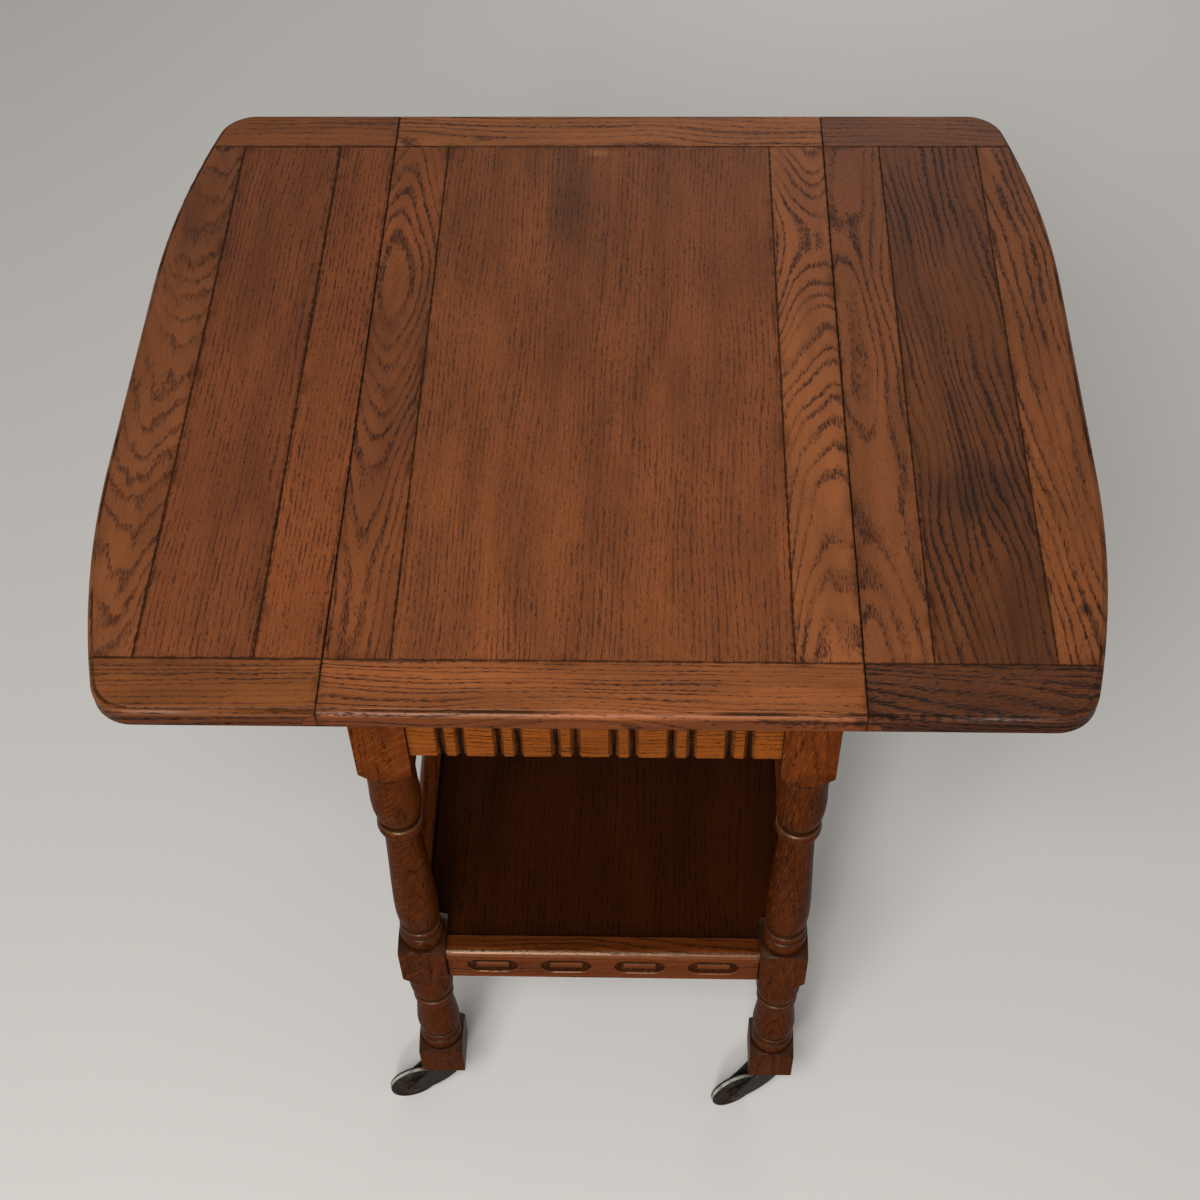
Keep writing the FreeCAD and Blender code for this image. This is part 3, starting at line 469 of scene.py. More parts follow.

# %% [markdown]
# Dirt collects in corners and along seams, and painted shade darkens the corners too: Ambient Occlusion finds
# them. The quirk, the small step of the moulded edge, gets a dark line of dirt and painted shade. Sunk is (y, way,
# start): ornament that lies start mm behind the plane y, along way, holds old stain and painted shade. The
# turned stain is a shader group with one more mask, of stain and painted shade. The darkest counts.

# %% Dirt and painted shade
# Dirt, stain and painted shade all darken the wood towards this colour.
dirt_and_shade_colour = (0.017, 0.007, 0.003, 1)
corner_reach = 8 * mm
corner_levels, corner_share = (0.35, 0.95), 0.9
quirk_middle, quirk_fall = 1.05 * mm, (0.25 * mm, 0.7 * mm)
quirk_patches = ((0.06, 0.06, 0.06), 3, 0.42, 0.6, 0.1, 0.85)
seam_share = 0.85
sunk_full, sunk_fall = 2.3 * mm, (3 * mm, 4 * mm)
sunk_streaks = ((1.3 * mm, 1.3 * mm, 30 * mm), 2, 0.36, 0.6, 0.5, 0.95)


def wood_dirt_and_shade(graph, here, look):
    # Painted shade: Ambient Occlusion darkens corners and hollows, as dirt there and as the shade that falls
    # there.
    hollow_shade = graph.add("ShaderNodeAmbientOcclusion", {"Distance": corner_reach}, samples=6).outputs["AO"]
    masks = [graph.step(hollow_shade, *corner_levels, corner_share * look["corner_dirt_and_shade"], 0)]
    # Painted shade and dirt: a dark line in the quirk's step.
    if look["edge"]:
        below = graph.maths("SUBTRACT", look["edge"], graph.coordinate(here, "Z"))
        away = graph.maths("ABSOLUTE", graph.maths("SUBTRACT", below, quirk_middle))
        masks.append(graph.times(graph.fall(away, *quirk_fall), graph.patches(here, *quirk_patches)))
    if look["stain_and_shade"]:
        masks.append(use(graph, look["stain_and_shade"], place=here)["mask"])
    if look["seams"]:
        low, high = look["seams"]
        lines = use(graph, seam, place=here, low=low, high=high, reach=look["seam_reach"] * mm)
        masks.append(graph.times(lines["mask"], seam_share))
    # Sunk ornament is darkened: old stain, and painted shade in the recess.
    if look["sunk"]:
        plane, way, start = look["sunk"]
        depth = graph.times(graph.maths("SUBTRACT", graph.coordinate(here, "Y"), plane), way)
        deep = graph.window(depth, (start * mm, sunk_full), sunk_fall)
        masks.append(graph.times(deep, graph.patches(here, *sunk_streaks)))
    dirt_and_shade = masks[0]
    for mask in masks[1:]:
        dirt_and_shade = graph.maths("MAXIMUM", dirt_and_shade, mask)
    return dirt_and_shade


print("dirt ready")

# %% [markdown]
# Pores are a little rough and sunk, so they catch the light at a low angle. Where dirt and painted shade darken
# the wood it is matt, and what hands and cloths rub is glossy: noses, beads and arrises, which are the faces
# that slope. Upright faces get less wax.

# %% Waxed oak
pore_roughness, mottle_roughness = 0.22, 0.12
band_height = 0.35
pore_bump = {"Strength": 0.35, "Distance": 0.25 * mm}
rubbed_rise, rubbed_fall = (0.25, 0.5), (0.85, 0.97)
upright_wax = (0, 0.3, 0.3, 1)
dirt_and_shade_dulling = -0.9


def waxed_oak(node, **changes):
    """The finish of a node's board. Changes are where it differs from plain oak."""
    look = {**plain_oak, **changes}
    material, graph, shader, here = new_finish(f"{node}_oak")
    board, oak = board_figure(graph, here, middle_of(node), look)
    colour = wood_colour(graph, here, board, oak, look)
    # The colour is darkened by dirt, stain and painted shade.
    dirt_and_shade = wood_dirt_and_shade(graph, here, look)
    graph.put(shader.inputs["Base Color"], graph.mix(dirt_and_shade, colour, dirt_and_shade_colour))

    rough = graph.times(oak["pores"], pore_roughness, look["polish"])
    graph.put(shader.inputs["Roughness"], graph.times(oak["mottle"], mottle_roughness, rough))
    height = graph.times(oak["band"], band_height, oak["pores"])
    bump = graph.add("ShaderNodeBump", {"Height": height, **pore_bump}, invert=True)
    graph.put(shader.inputs["Normal"], bump.outputs[0])

    facing = graph.coordinate(graph.add("ShaderNodeNewGeometry").outputs["Normal"], "Z")
    rubbed = graph.window(facing, rubbed_rise, rubbed_fall)
    shine = graph.times(rubbed, look["rubbed_gloss"] - look["gloss"], look["gloss"])
    shine = graph.times(shine, graph.step(facing, *upright_wax))
    shine = graph.times(shine, graph.times(dirt_and_shade, dirt_and_shade_dulling, 1))
    graph.put(shader.inputs["Specular IOR Level"], shine)
    shader.inputs["Specular Tint"].default_value = look["wax"]
    return material


print("waxed oak ready")

# %% [markdown]
# A solid's edges are perfectly sharp, and real arrises are eased with a stroke of sandpaper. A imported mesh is
# loose triangles, so each copy is merged, its flat faces are joined up, and its long sharp edges get a small
# round bevel. Short edges in one plane can be the rims of carving, which get a rounder one. Weighted normals
# keep the flats flat.

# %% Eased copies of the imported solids
merge_distance = 0.002 * mm
flat_angle = math.radians(0.4)
arris_angle = math.radians(38)
rim_length, rim_ease = 60 * mm, 1.4 * mm
plane_slack = 0.01 * mm


def sharp_edges(bm):
    joined = [edge for edge in bm.edges if len(edge.link_faces) == 2]
    return [edge for edge in joined if abs(edge.calc_face_angle_signed()) > arris_angle]


def round_off(bm, edges, ease, segments, clamp):
    bmesh.ops.bevel(bm, geom=edges, offset=ease, offset_type="OFFSET", segments=segments, profile=0.5,
                    affect="EDGES", clamp_overlap=clamp, material=-1)


def eased_copy(node, ease, shortest, suffix="wood", rim_plane=None):
    """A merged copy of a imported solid, with its longer sharp edges and the rims in the plane y rounded."""
    bm = bmesh.new()
    bm.from_mesh(frame["nodes"][node].data)
    bmesh.ops.remove_doubles(bm, verts=bm.verts, dist=merge_distance)
    bmesh.ops.dissolve_limit(bm, angle_limit=flat_angle, verts=bm.verts, edges=bm.edges)
    if rim_plane:
        rims = [
            edge for edge in sharp_edges(bm)
            if edge.calc_length() < rim_length and all(abs(v.co.y - rim_plane) < plane_slack for v in edge.verts)
        ]
        round_off(bm, rims, rim_ease, 4, True)
    round_off(bm, [edge for edge in sharp_edges(bm) if edge.calc_length() > shortest], ease, 2, False)
    return object_from(bm, f"{node}_{suffix}")


def dress(piece, material, *nodes):
    """Give a piece its finish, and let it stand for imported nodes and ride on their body."""
    piece.data.materials.clear()
    piece.data.materials.append(material)
    weights = piece.modifiers.new("flat_faces", "WEIGHTED_NORMAL")
    weights.keep_sharp = True
    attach(piece, body_of[nodes[0]])
    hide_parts(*nodes)


print("copies can be eased")

# %% [markdown]
# The top is fifteen boards: a panel between two stiles and two rails in the centre and in each leaf. Seams lie
# where their boxes meet and at the hinge lines. A side with no seam gets a plane far away.

# %% Seams of the top
far_away = 9
seam_slack = 13 * mm
seam_x = [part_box("centre_panel")[1].x, joints["right_leaf_hinge"]["pos_m"][0]]
seam_x += [corner.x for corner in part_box("right_leaf_panel")]
seam_y = [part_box("centre_panel")[1].y]


def board_seams(node):
    """Low and high planes of a board's seams."""
    low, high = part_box(node)
    planes = ([far_away, far_away, 0], [far_away, far_away, 0])
    for axis, lines in ((0, seam_x), (1, seam_y)):
        for planes_of_side, place in zip(planes, (low[axis], high[axis])):
            nearest = min(lines, key=lambda line: abs(line - abs(place)))
            if abs(nearest - abs(place)) < seam_slack:
                planes_of_side[axis] = math.copysign(nearest, place)
    return tuple(planes[0]), tuple(planes[1])


print("seams at", [round(x / mm, 1) for x in seam_x], "mm from the middle")

# %% [markdown]
# Every board has its own pith, ring width and tone, and a seed from its place in the table. Patches are the
# stains, nicks and worn places that make it this one trolley, in millimetres from the middle of the top.

# %% Boards of the top


def patch(x, y, across, along, tint, weight=0.9, rim=0.6, down=0, depth=60):
    """A mark whose centre lies down mm below the top's face."""
    return (x, y, cad_high.z / mm - down), (across, along, depth), rim, tint, weight


top_seed = 1
top_ease = 0.45 * mm
shortest_arris = 3 * mm
top_boards = {
    "centre_panel": dict(
        tone=(0.122, 0.0343, 0.0084), pith=(330, 0, -150), ring=4, wander=7, broken=0.8, contrast=0.95,
        fine=1.3, open_at=0.64, fibre=0.8, veneer=(-52, 3, 60, 170, (0.76, 0.8, 0.87), 0.15), marks=[
            patch(-30, 215, 18, 45, (0.88, 0.9, 0.93), 0.8),
            patch(-10, 288, 9, 5, (2, 2.6, 3.5), 0.6, rim=0.5, depth=30),
        ]),
    "centre_left_stile": dict(
        tone=(0.103, 0.0291, 0.0078), pith=(-2, 127, -10), ring=5.6, taper=0, bend=16, wander=9, contrast=2,
        marks=[
            patch(-180, 205, 40, 110, (1.5, 1.45, 1.3)),
            patch(-180, -230, 40, 110, (1.16, 1.14, 1.05)),
        ]),
    "centre_right_stile": dict(
        tone=(0.158, 0.0478, 0.013), pith=(5, 165, -26), ring=4.8, taper=0.01, bend=-20, wander=12, contrast=2),
    "centre_front_rail": dict(
        tone=(0.15, 0.0442, 0.011), grain="x", pith=(75, 0, -40), ring=4, taper=0.015, wander=16, broken=0.15,
        contrast=1.9, fibre=0.7, marks=[patch(194, -346, 5, 4, (0.2, 0.2, 0.2), rim=0.4, down=6, depth=5)]),
    "centre_back_rail": dict(
        tone=(0.179, 0.0567, 0.015), grain="x", pith=(40, 60, -30), ring=5.5, wander=14, contrast=1.7),
    "left_leaf_panel": dict(
        tone=(0.105, 0.0281, 0.0072), pith=(260, 0, -90), ring=4.2, wander=6, broken=0.8, contrast=1.1,
        fine=1.25, open_at=0.64, fibre=0.8, seam_reach=2.4),
    "left_leaf_hinge_stile": dict(
        tone=(0.129, 0.0338, 0.00806), pith=(230, 0, -70), ring=4, wander=7, broken=0.8, contrast=1.6,
        fine=1.15, open_at=0.64, fibre=0.9, seam_reach=2.4),
    "left_leaf_outer_stile": dict(
        tone=(0.118, 0.0354, 0.0096), pith=(4, 0, -24), ring=5.2, taper=-0.15, wander=12, ripple=1.2,
        contrast=1.1, marks=[patch(-355, 215, 40, 70, (0.75, 0.72, 0.72))]),
    "left_leaf_front_rail": dict(
        tone=(0.119, 0.0354, 0.00799), grain="x", pith=(75, 0, -40), ring=4.2, wander=7, contrast=2),
    "left_leaf_back_rail": dict(tone=(0.13, 0.0395, 0.011), grain="x", pith=(60, 0, -40), ring=4.8),
    "right_leaf_hinge_stile": dict(
        tone=(0.125, 0.0374, 0.01), pith=(-14, -40, -26), ring=6.5, taper=0.03, bend=-4, wander=20, contrast=1.8),
    "right_leaf_panel": dict(
        tone=(0.0824, 0.0236, 0.00556), pith=(-150, 0, -80), ring=6, taper=0.09, wander=16, broken=0.1,
        contrast=2.3, fibre=0.8, marks=[
            patch(304, -127, 34, 37, (0.58, 0.6, 0.68), 0.95, rim=0.5),
            patch(325, -250, 36, 90, (0.62, 0.6, 0.62), 0.8, rim=0.7),
        ]),
    "right_leaf_outer_stile": dict(
        tone=(0.128, 0.0374, 0.00916), pith=(-70, 0, -90), ring=5, taper=0.06, wander=9, contrast=2.4,
        fibre=0.8, marks=[
            patch(350, -145, 30, 70, (1.22, 1.22, 1.15)),
            patch(367, -245, 4.5, 6, (0.35, 0.33, 0.35), rim=0.5, depth=40),
        ]),
    "right_leaf_front_rail": dict(
        tone=(0.061, 0.0171, 0.00439), grain="x", pith=(50, 0, -40), ring=5, taper=0.08, wander=14,
        contrast=2.8, fibre=1, open_at=0.6,
        marks=[patch(216 + 11 * n, -343, 1.8, 3, (0.25, 0.25, 0.25), down=2, depth=2.5) for n in range(9)]),
    "right_leaf_back_rail": dict(tone=(0.1, 0.0312, 0.0096), grain="x", pith=(60, 0, -40), ring=4.6),
}
for seed, (node, look) in enumerate(top_boards.items(), top_seed):
    look.update(seed=seed, seams=board_seams(node), edge=cad_high.z)
    dress(eased_copy(node, top_ease, shortest_arris), waxed_oak(node, **look), node)
print(len(top_boards), "boards in the top")

# %% [markdown]
# The fluted friezes and the carved shelf rails are show wood. The carved face lies a little behind the frieze's,
# and painted light makes it paler than the rails' tops, as if more light fell on it. Way is 1 at the front and -1
# at the back. The leaves hide the side rails.

# %% Rails and shelf
rail_seed = 21
rail_ease = 0.4 * mm
frieze_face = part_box("front_frieze")[0].y
carved_face = frieze_face + 1.5 * mm
flute_start, carving_start = 0.5, 1.5
# Painted light: the upright carved face is tinted paler, as if more light fell on it.
painted_face_light = (1.7, 1.65, 1.5)
frieze_look = dict(tone=(0.135, 0.0345, 0.0043), grain="x", ring=5, ripple=1.2, wander=14, contrast=1.5,
                   fibre=0.9, corner_dirt_and_shade=1.1, gloss=0.05, wax=brown_wax)
rail_look = dict(tone=(0.052, 0.0122, 0.0023), ring=4, contrast=1.3, polish=0.25, gloss=0.05, rubbed_gloss=0.8,
                 wax=brown_wax)
hidden_look = dict(tone=(0.13, 0.036, 0.008), ring=5)


def carved_look(way):
    # Painted light on the upright carved face.
    painted_light_on_face = ((0, way * frieze_face / mm, 300), (400, 8, 60), 0.3, painted_face_light, 1)
    return dict(rail_look, grain="x", pith=(way * 40, 0, -50), marks=[painted_light_on_face],
                sunk=(way * carved_face, way, carving_start))


show_boards = {
    "front_frieze": dict(frieze_look, pith=(10, 40, -40), sunk=(frieze_face, 1, flute_start)),
    "back_frieze": dict(frieze_look, pith=(-12, -50, -40), sunk=(-frieze_face, -1, flute_start)),
    "left_side_rail": dict(hidden_look, pith=(-60, 0, 30)),
    "right_side_rail": dict(hidden_look, pith=(60, 0, 30)),
    "shelf_front_rail": carved_look(1),
    "shelf_back_rail": carved_look(-1),
    "shelf_left_rail": dict(rail_look, pith=(-40, 0, -50)),
    "shelf_right_rail": dict(rail_look, pith=(40, 0, -50)),
    "shelf_panel": dict(tone=(0.0175, 0.0035, 0.0004), pith=(300, 0, -120), ring=5, broken=0.8, contrast=1.6,
                        polish=0.4, gloss=0.08, wax=brown_wax),
}
rim_planes = {"shelf_front_rail": carved_face, "shelf_back_rail": -carved_face}
for seed, (node, look) in enumerate(show_boards.items(), rail_seed):
    copy = eased_copy(node, rail_ease, shortest_arris, rim_plane=rim_planes.get(node))
    dress(copy, waxed_oak(node, seed=seed, **look), node)
print(len(show_boards), "rails and panels")

# %% [markdown]
# What is out of sight was never stained: the bearers, slides and glue blocks are bare, paler oak.

# %% Bare oak
bare_seed = 31
bare_look = dict(tone=(0.24, 0.125, 0.052), pith=(40, 0, -30), polish=0.55)
bare_grain = {"glue_blocks": "y", "left_slide_bearer": "y", "right_slide_bearer": "y"}
bare_grain.update({node: "x" for node in body_of if node.endswith("_slide")})
for seed, (node, grain) in enumerate(bare_grain.items(), bare_seed):
    finish = waxed_oak(node, grain=grain, seed=seed, **bare_look)
    dress(eased_copy(node, rail_ease, shortest_arris), finish, node)
print(len(bare_grain), "bearers, slides and sets of blocks")

# %% [markdown]
# The legs are the turner's work: square blocks are left where the rails join, and between them the wood is
# turned to vases, rings and hollows. The outline is given as curves of (distance down, radius), in shares of
# the stretch and of half the leg's width. Each curve goes on where the last one ends, and a single point is a
# straight line. At a block the line swings out past its corners, at the slope that gives the shoulder its drop.

# %% Outline of a leg
upper_turning = (
    ((0.014, 0.93),),
    ((0.106, 0.94), (0.164, 0.968), (0.216, 0.945), (0.257, 0.86)),
    ((0.275, 0.745), (0.288, 0.765)),
    ((0.2895, 0.82), (0.2955, 0.875), (0.312, 0.905), (0.329, 0.865), (0.336, 0.765)),
    ((0.37, 0.705), (0.541, 0.786), (0.678, 0.866), (0.798, 0.908), (0.863, 0.868), (0.89, 0.79)),
    ((0.899, 0.735), (0.908, 0.77)),
    ((0.9095, 0.815), (0.914, 0.85), (0.925, 0.868), (0.938, 0.845), (0.943, 0.79)),
    ((0.9445, 0.845), (0.951, 0.9), (0.97, 0.925), (0.987, 0.912), (0.993, 0.885)),
    ((1, 0.885),),
    ((1, 1),),
)
lower_turning = (
    ((0.03, 0.925),),
    ((0.12, 0.955), (0.2, 0.96), (0.255, 0.91), (0.285, 0.81)),
    ((0.31, 0.745), (0.325, 0.78)),
    ((0.328, 0.83), (0.338, 0.872), (0.362, 0.893), (0.393, 0.86), (0.405, 0.8)),
    ((0.45, 0.79), (0.58, 0.875), (0.73, 0.95), (0.8, 0.9), (0.825, 0.8)),
    ((0.835, 0.76), (0.845, 0.785)),
    ((0.848, 0.83), (0.857, 0.864), (0.877, 0.88), (0.902, 0.86), (0.91, 0.81)),
    ((0.913, 0.86), (0.925, 0.915), (0.955, 0.942), (0.983, 0.94), (0.993, 0.92)),
    ((1, 0.92),),
    ((1, 1),),
)
curve_steps = 7
leg_low, leg_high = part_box("front_left_leg")
half_leg = (leg_high.x - leg_low.x) / 2
swing = half_leg * 1.6
upper_block = 141 * mm
upper_length = 292 * mm
middle_block = 65 * mm
lower_length = 145 * mm
drops = {"upper": 12 * mm, "middle_top": 5.5 * mm, "middle_bottom": 12 * mm, "foot": 9 * mm}


def smooth_points(points, steps):
    """Points along a smooth cubic curve through the given ones."""
    ends = [points[0] * 2 - points[1], *points, points[-1] * 2 - points[-2]]
    curve = []
    for before, start, end, after in zip(ends, ends[1:], ends[2:], ends[3:]):
        for number in range(steps):
            t = number / steps
            curve.append((start * 2 + (end - before) * t + (before * 2 - start * 5 + end * 4 - after) * t ** 2
                          + (start * 3 - before - end * 3 + after) * t ** 3) / 2)
    return curve + [points[-1]]


def turned_points(curves, top, length):
    """Outline of a turned stretch in the XZ plane."""
    outline, start = [], Vector((half_leg, 0, top))
    for curve in curves:
        points = [start] + [Vector((radius * half_leg, 0, top - down * length)) for down, radius in curve]
        outline += points if len(points) == 2 else smooth_points(points, curve_steps)
        start = points[-1]
    return outline


upper_z = leg_high.z - upper_block
middle_top = upper_z - upper_length
middle_bottom = middle_top - middle_block
foot_top = middle_bottom - lower_length
steep = (swing - half_leg) / (half_leg * (math.sqrt(2) - 1))
outline = [
    Vector((0, 0, leg_high.z)),
    Vector((swing, 0, leg_high.z)),
    Vector((swing, 0, upper_z + drops["upper"] * steep)),
    *turned_points(upper_turning, upper_z, upper_length),
    Vector((swing, 0, middle_top - drops["middle_top"] * steep)),
    Vector((swing, 0, middle_bottom + drops["middle_bottom"] * steep)),
    *turned_points(lower_turning, middle_bottom, lower_length),
    Vector((swing, 0, foot_top - drops["foot"] * steep)),
    Vector((swing, 0, leg_low.z)),
    Vector((0, 0, leg_low.z)),
]
print("leg outline has", len(outline), "points")

# %% [markdown]
# A polisher leaves dark stain in the grooves of a turning and on the shoulders of its blocks, where the cloth
# doesn't reach, and in the grooves painted shade adds to it, under the rings that overhang them. The grooves are
# known by their height, as (share of the stretch, half width in mm), and the shoulders are what faces up just
# below a turning.

# %% Stain and painted shade in the turning
groove_shares = {
    (upper_z, upper_length): ((0.006, 3), (0.28, 3.8), (0.902, 3.4), (0.945, 1.8), (0.998, 1.6)),
    (middle_bottom, lower_length): ((0.012, 2.6), (0.312, 3.2), (0.838, 2.6), (0.913, 1.6), (0.998, 1.6)),
}
groove_core = 0.45
shoulder_facing = (0.45, 0.75)
shoulder_below, shoulder_above = 1 * mm, 0.5 * mm
stain_and_shade_patches = ((0.015, 0.015, 0.006), 3, 0.3, 0.6, 0.62, 0.88)

stain_and_shade, given, result = shader_group("turned_stain_and_shade", ("place",), (), ("mask",))
height = stain_and_shade.coordinate(given["place"], "Z")
facing = stain_and_shade.coordinate(stain_and_shade.add("ShaderNodeNewGeometry").outputs["Normal"], "Z")
facing_up = stain_and_shade.step(facing, *shoulder_facing)
stained_and_shaded = 0
# Dark in the grooves: stain, and painted shade under the overhanging rings.
for (top, length), grooves in groove_shares.items():
    for share, half_mm in grooves:
        away = stain_and_shade.maths("ABSOLUTE", stain_and_shade.maths("SUBTRACT", height, top - share * length))
        groove = stain_and_shade.fall(away, groove_core * half_mm * mm, half_mm * mm)
        stained_and_shaded = stain_and_shade.maths("MAXIMUM", stained_and_shaded, groove)
for top, drop in ((middle_top, drops["middle_top"]), (foot_top, drops["foot"])):
    near = stain_and_shade.window(height, (top - drop - shoulder_below, top - drop), (top, top + shoulder_above))
    stained_and_shaded = stain_and_shade.maths("MAXIMUM", stained_and_shaded, stain_and_shade.times(facing_up, near))
stain_and_shade.put(result["mask"], stain_and_shade.times(stained_and_shaded, stain_and_shade.patches(given["place"], *stain_and_shade_patches)))
print("stain in", sum(len(grooves) for grooves in groove_shares.values()), "grooves")

# %% [markdown]
# The outline is spun round the leg's axis, and the blocks are planed on sixteen sides, four for the faces and
# the rest to round the arrises. That leaves the curved shoulders that a lathe leaves on a square. Tilted cuts
# round the foot's lower edge.

# %% Turn and plane a leg
arris_round = 1.2 * mm
foot_round = 4 * mm
foot_tilts = [math.radians(tilt) for tilt in (22.5, 45, 67.5)]
leg_steps = 96
leg_merge = 0.005 * mm
planed_sides = 16
cut_slack = 0.001 * mm


def spun(points, axis, steps, closed=False, merge=merge_distance):
    """Spin a line of points a full turn about an axis through the origin."""
    bm = bmesh.new()
    corners = [bm.verts.new(point) for point in points]
    edges = [bm.edges.new(pair) for pair in zip(corners, corners[1:] + corners[:1] * closed)]
    bmesh.ops.spin(bm, geom=corners + edges, cent=(0, 0, 0), axis=axis, angle=math.tau, steps=steps,
                   use_merge=True)
    bmesh.ops.remove_doubles(bm, verts=bm.verts, dist=merge)
    bmesh.ops.recalc_face_normals(bm, faces=bm.faces)
    return bm


def plane_off(bm, parts, place, facing):
    """Cut off what lies outside a plane and close the cut."""
    cut = bmesh.ops.bisect_plane(bm, geom=parts, dist=cut_slack, plane_co=place, plane_no=facing,
                                 clear_outer=True)
    rim = [piece for piece in cut["geom_cut"] if isinstance(piece, bmesh.types.BMEdge)]
    bmesh.ops.holes_fill(bm, edges=rim)


def leg_mesh():
    bm = spun(outline, (0, 0, 1), leg_steps, merge=leg_merge)
    angles = [math.tau * number / planed_sides for number in range(planed_sides)]
    sides = [Vector((math.cos(angle), math.sin(angle), 0)) for angle in angles]
    reaches = [(half_leg - arris_round) * (abs(out.x) + abs(out.y)) + arris_round for out in sides]
    for out, reach in zip(sides, reaches):
        plane_off(bm, bm.verts[:] + bm.edges[:] + bm.faces[:], out * reach, out)
    for out, reach in zip(sides, reaches):
        middle = out * (reach - foot_round) + Vector((0, 0, leg_low.z + foot_round))
        for tilt in foot_tilts:
            facing = out * math.cos(tilt) - Vector((0, 0, math.sin(tilt)))
            near = [vert for vert in bm.verts if vert.co.z < middle.z]
            parts = dict.fromkeys(part for vert in near for part in (vert, *vert.link_edges, *vert.link_faces))
            plane_off(bm, list(parts), middle + facing * foot_round, facing)
    bmesh.ops.recalc_face_normals(bm, faces=bm.faces)
    return bm


turned_leg = leg_mesh()
open_edges = sum(not edge.is_manifold for edge in turned_leg.edges)
print("leg has", len(turned_leg.faces), "faces and", open_edges, "open edges")

# %% [markdown]
# All four legs are that one turning, each from its own piece of oak. Their upper blocks, next to the friezes,
# get painted light: one large pale mark each, as if more light fell there than lower down.

# %% Four legs
leg_seed = 41
leg_look = dict(tone=(0.041, 0.0091, 0.0015), grain="z", ring=2.8, wander=6, broken=0.7, contrast=1.2, flecks=1,
                polish=0.28, gloss=0.03, rubbed_gloss=0.9, wax=brown_wax, stain_and_shade=stain_and_shade)
leg_piths = ((16, 0, 60), (-5, 0, 54), (44, 0, 10), (44, 0, -8))
leg_slants = (0.75, 0.12, 0.5, -0.3)
block_size, block_rim = (90, 90, 64), 0.25
# Painted light: each upper block gets a pale mark, as if more light fell near the top.
block_painted_light = (1.75, 1.7, 1.6)
legs = [node for node in body_of if node.endswith("_leg")]
for number, node in enumerate(legs):
    middle = middle_of(node)
    block_middle = (middle.x / mm, middle.y / mm, (leg_high.z + upper_z) / 2 / mm)
    bm = turned_leg.copy()
    bmesh.ops.translate(bm, verts=bm.verts, vec=(middle.x, middle.y, 0))
    finish = waxed_oak(node, pith=leg_piths[number], slant=leg_slants[number], seed=leg_seed + number,
                       marks=[(block_middle, block_size, block_rim, block_painted_light, 1)], **leg_look)
    dress(object_from(bm, f"{node}_wood"), finish, node)
turned_leg.free()
print(len(legs), "legs turned")

# %% [markdown]
# A castor is a pressed iron horn, a riveted axle, and a composition wheel with a rubber tyre. Their finish is
# two colours in uneven patches, and a third one on the tread, which is told by its distance from the axle and
# shows less where the rubber is worn.

# %% Metal, rubber and composition
worn_detail, worn_levels = 5, (0.42, 0.68)
worn_roughness = 0.2
skin_noise = ((0.5 * mm,) * 3, 2)
skin_bump = {"Strength": 0.2, "Distance": 0.1 * mm}
tread_start, tread_full = 0.8 * mm, 0.1 * mm
tread_core = 0.7
worn_tread = 0.5


def tread_share(graph, here, worn, axle, direction, radius, half_width):
    arm = graph.vector("SUBTRACT", here, tuple(axle))
    beside = graph.maths("ABSOLUTE", graph.vector("DOT_PRODUCT", arm, tuple(direction)))
    distance = graph.vector("LENGTH", graph.vector("CROSS_PRODUCT", arm, tuple(direction)))
    on_rim = graph.step(distance, radius - tread_start, radius - tread_full)
    rubbed = graph.times(on_rim, graph.fall(beside, tread_core * half_width, half_width))
    return graph.times(rubbed, graph.step(worn, 0, 1, 1, worn_tread))


def patchy_finish(name, colour, worn_colour, roughness, metallic, grain_mm, gloss=0.5, tread=None):
    """A finish of two colours in uneven patches. Tread is (axle, direction, radius, half width, colour)."""
    material, graph, shader, here = new_finish(name)
    worn = graph.patches(here, (grain_mm * mm,) * 3, worn_detail, *worn_levels)
    shown = graph.mix(worn, (*colour, 1), (*worn_colour, 1))
    if tread:
        *shape, tread_colour = tread
        shown = graph.mix(tread_share(graph, here, worn, *shape), shown, (*tread_colour, 1))
    graph.put(shader.inputs["Base Color"], shown)
    graph.put(shader.inputs["Roughness"], graph.times(worn, worn_roughness, roughness))
    shader.inputs["Metallic"].default_value = metallic
    shader.inputs["Specular IOR Level"].default_value = gloss
    bump = graph.add("ShaderNodeBump", {"Height": graph.noise(here, *skin_noise), **skin_bump})
    graph.put(shader.inputs["Normal"], bump.outputs[0])
    return material


iron = patchy_finish("oily_iron", (0.017, 0.015, 0.014), (0.030, 0.020, 0.013), 0.45, 0.25, 6, gloss=0.05)
brass = patchy_finish("tarnished_brass", (0.06, 0.04, 0.018), (0.03, 0.021, 0.012), 0.45, 1, 2)
composition = patchy_finish("brown_composition", (0.017, 0.010, 0.006), (0.046, 0.026, 0.014), 0.5, 0, 5,
                            gloss=0.05)
steel = patchy_finish("dull_steel", (0.42, 0.39, 0.34), (0.20, 0.15, 0.11), 0.36, 1, 4)
print("four finishes for the metalwork")

# %% [markdown]
# A wheel, its tyre and its axle are turned, so each is half an outline of (radius, distance from the middle),
# which is mirrored and spun. Round corners are arcs.

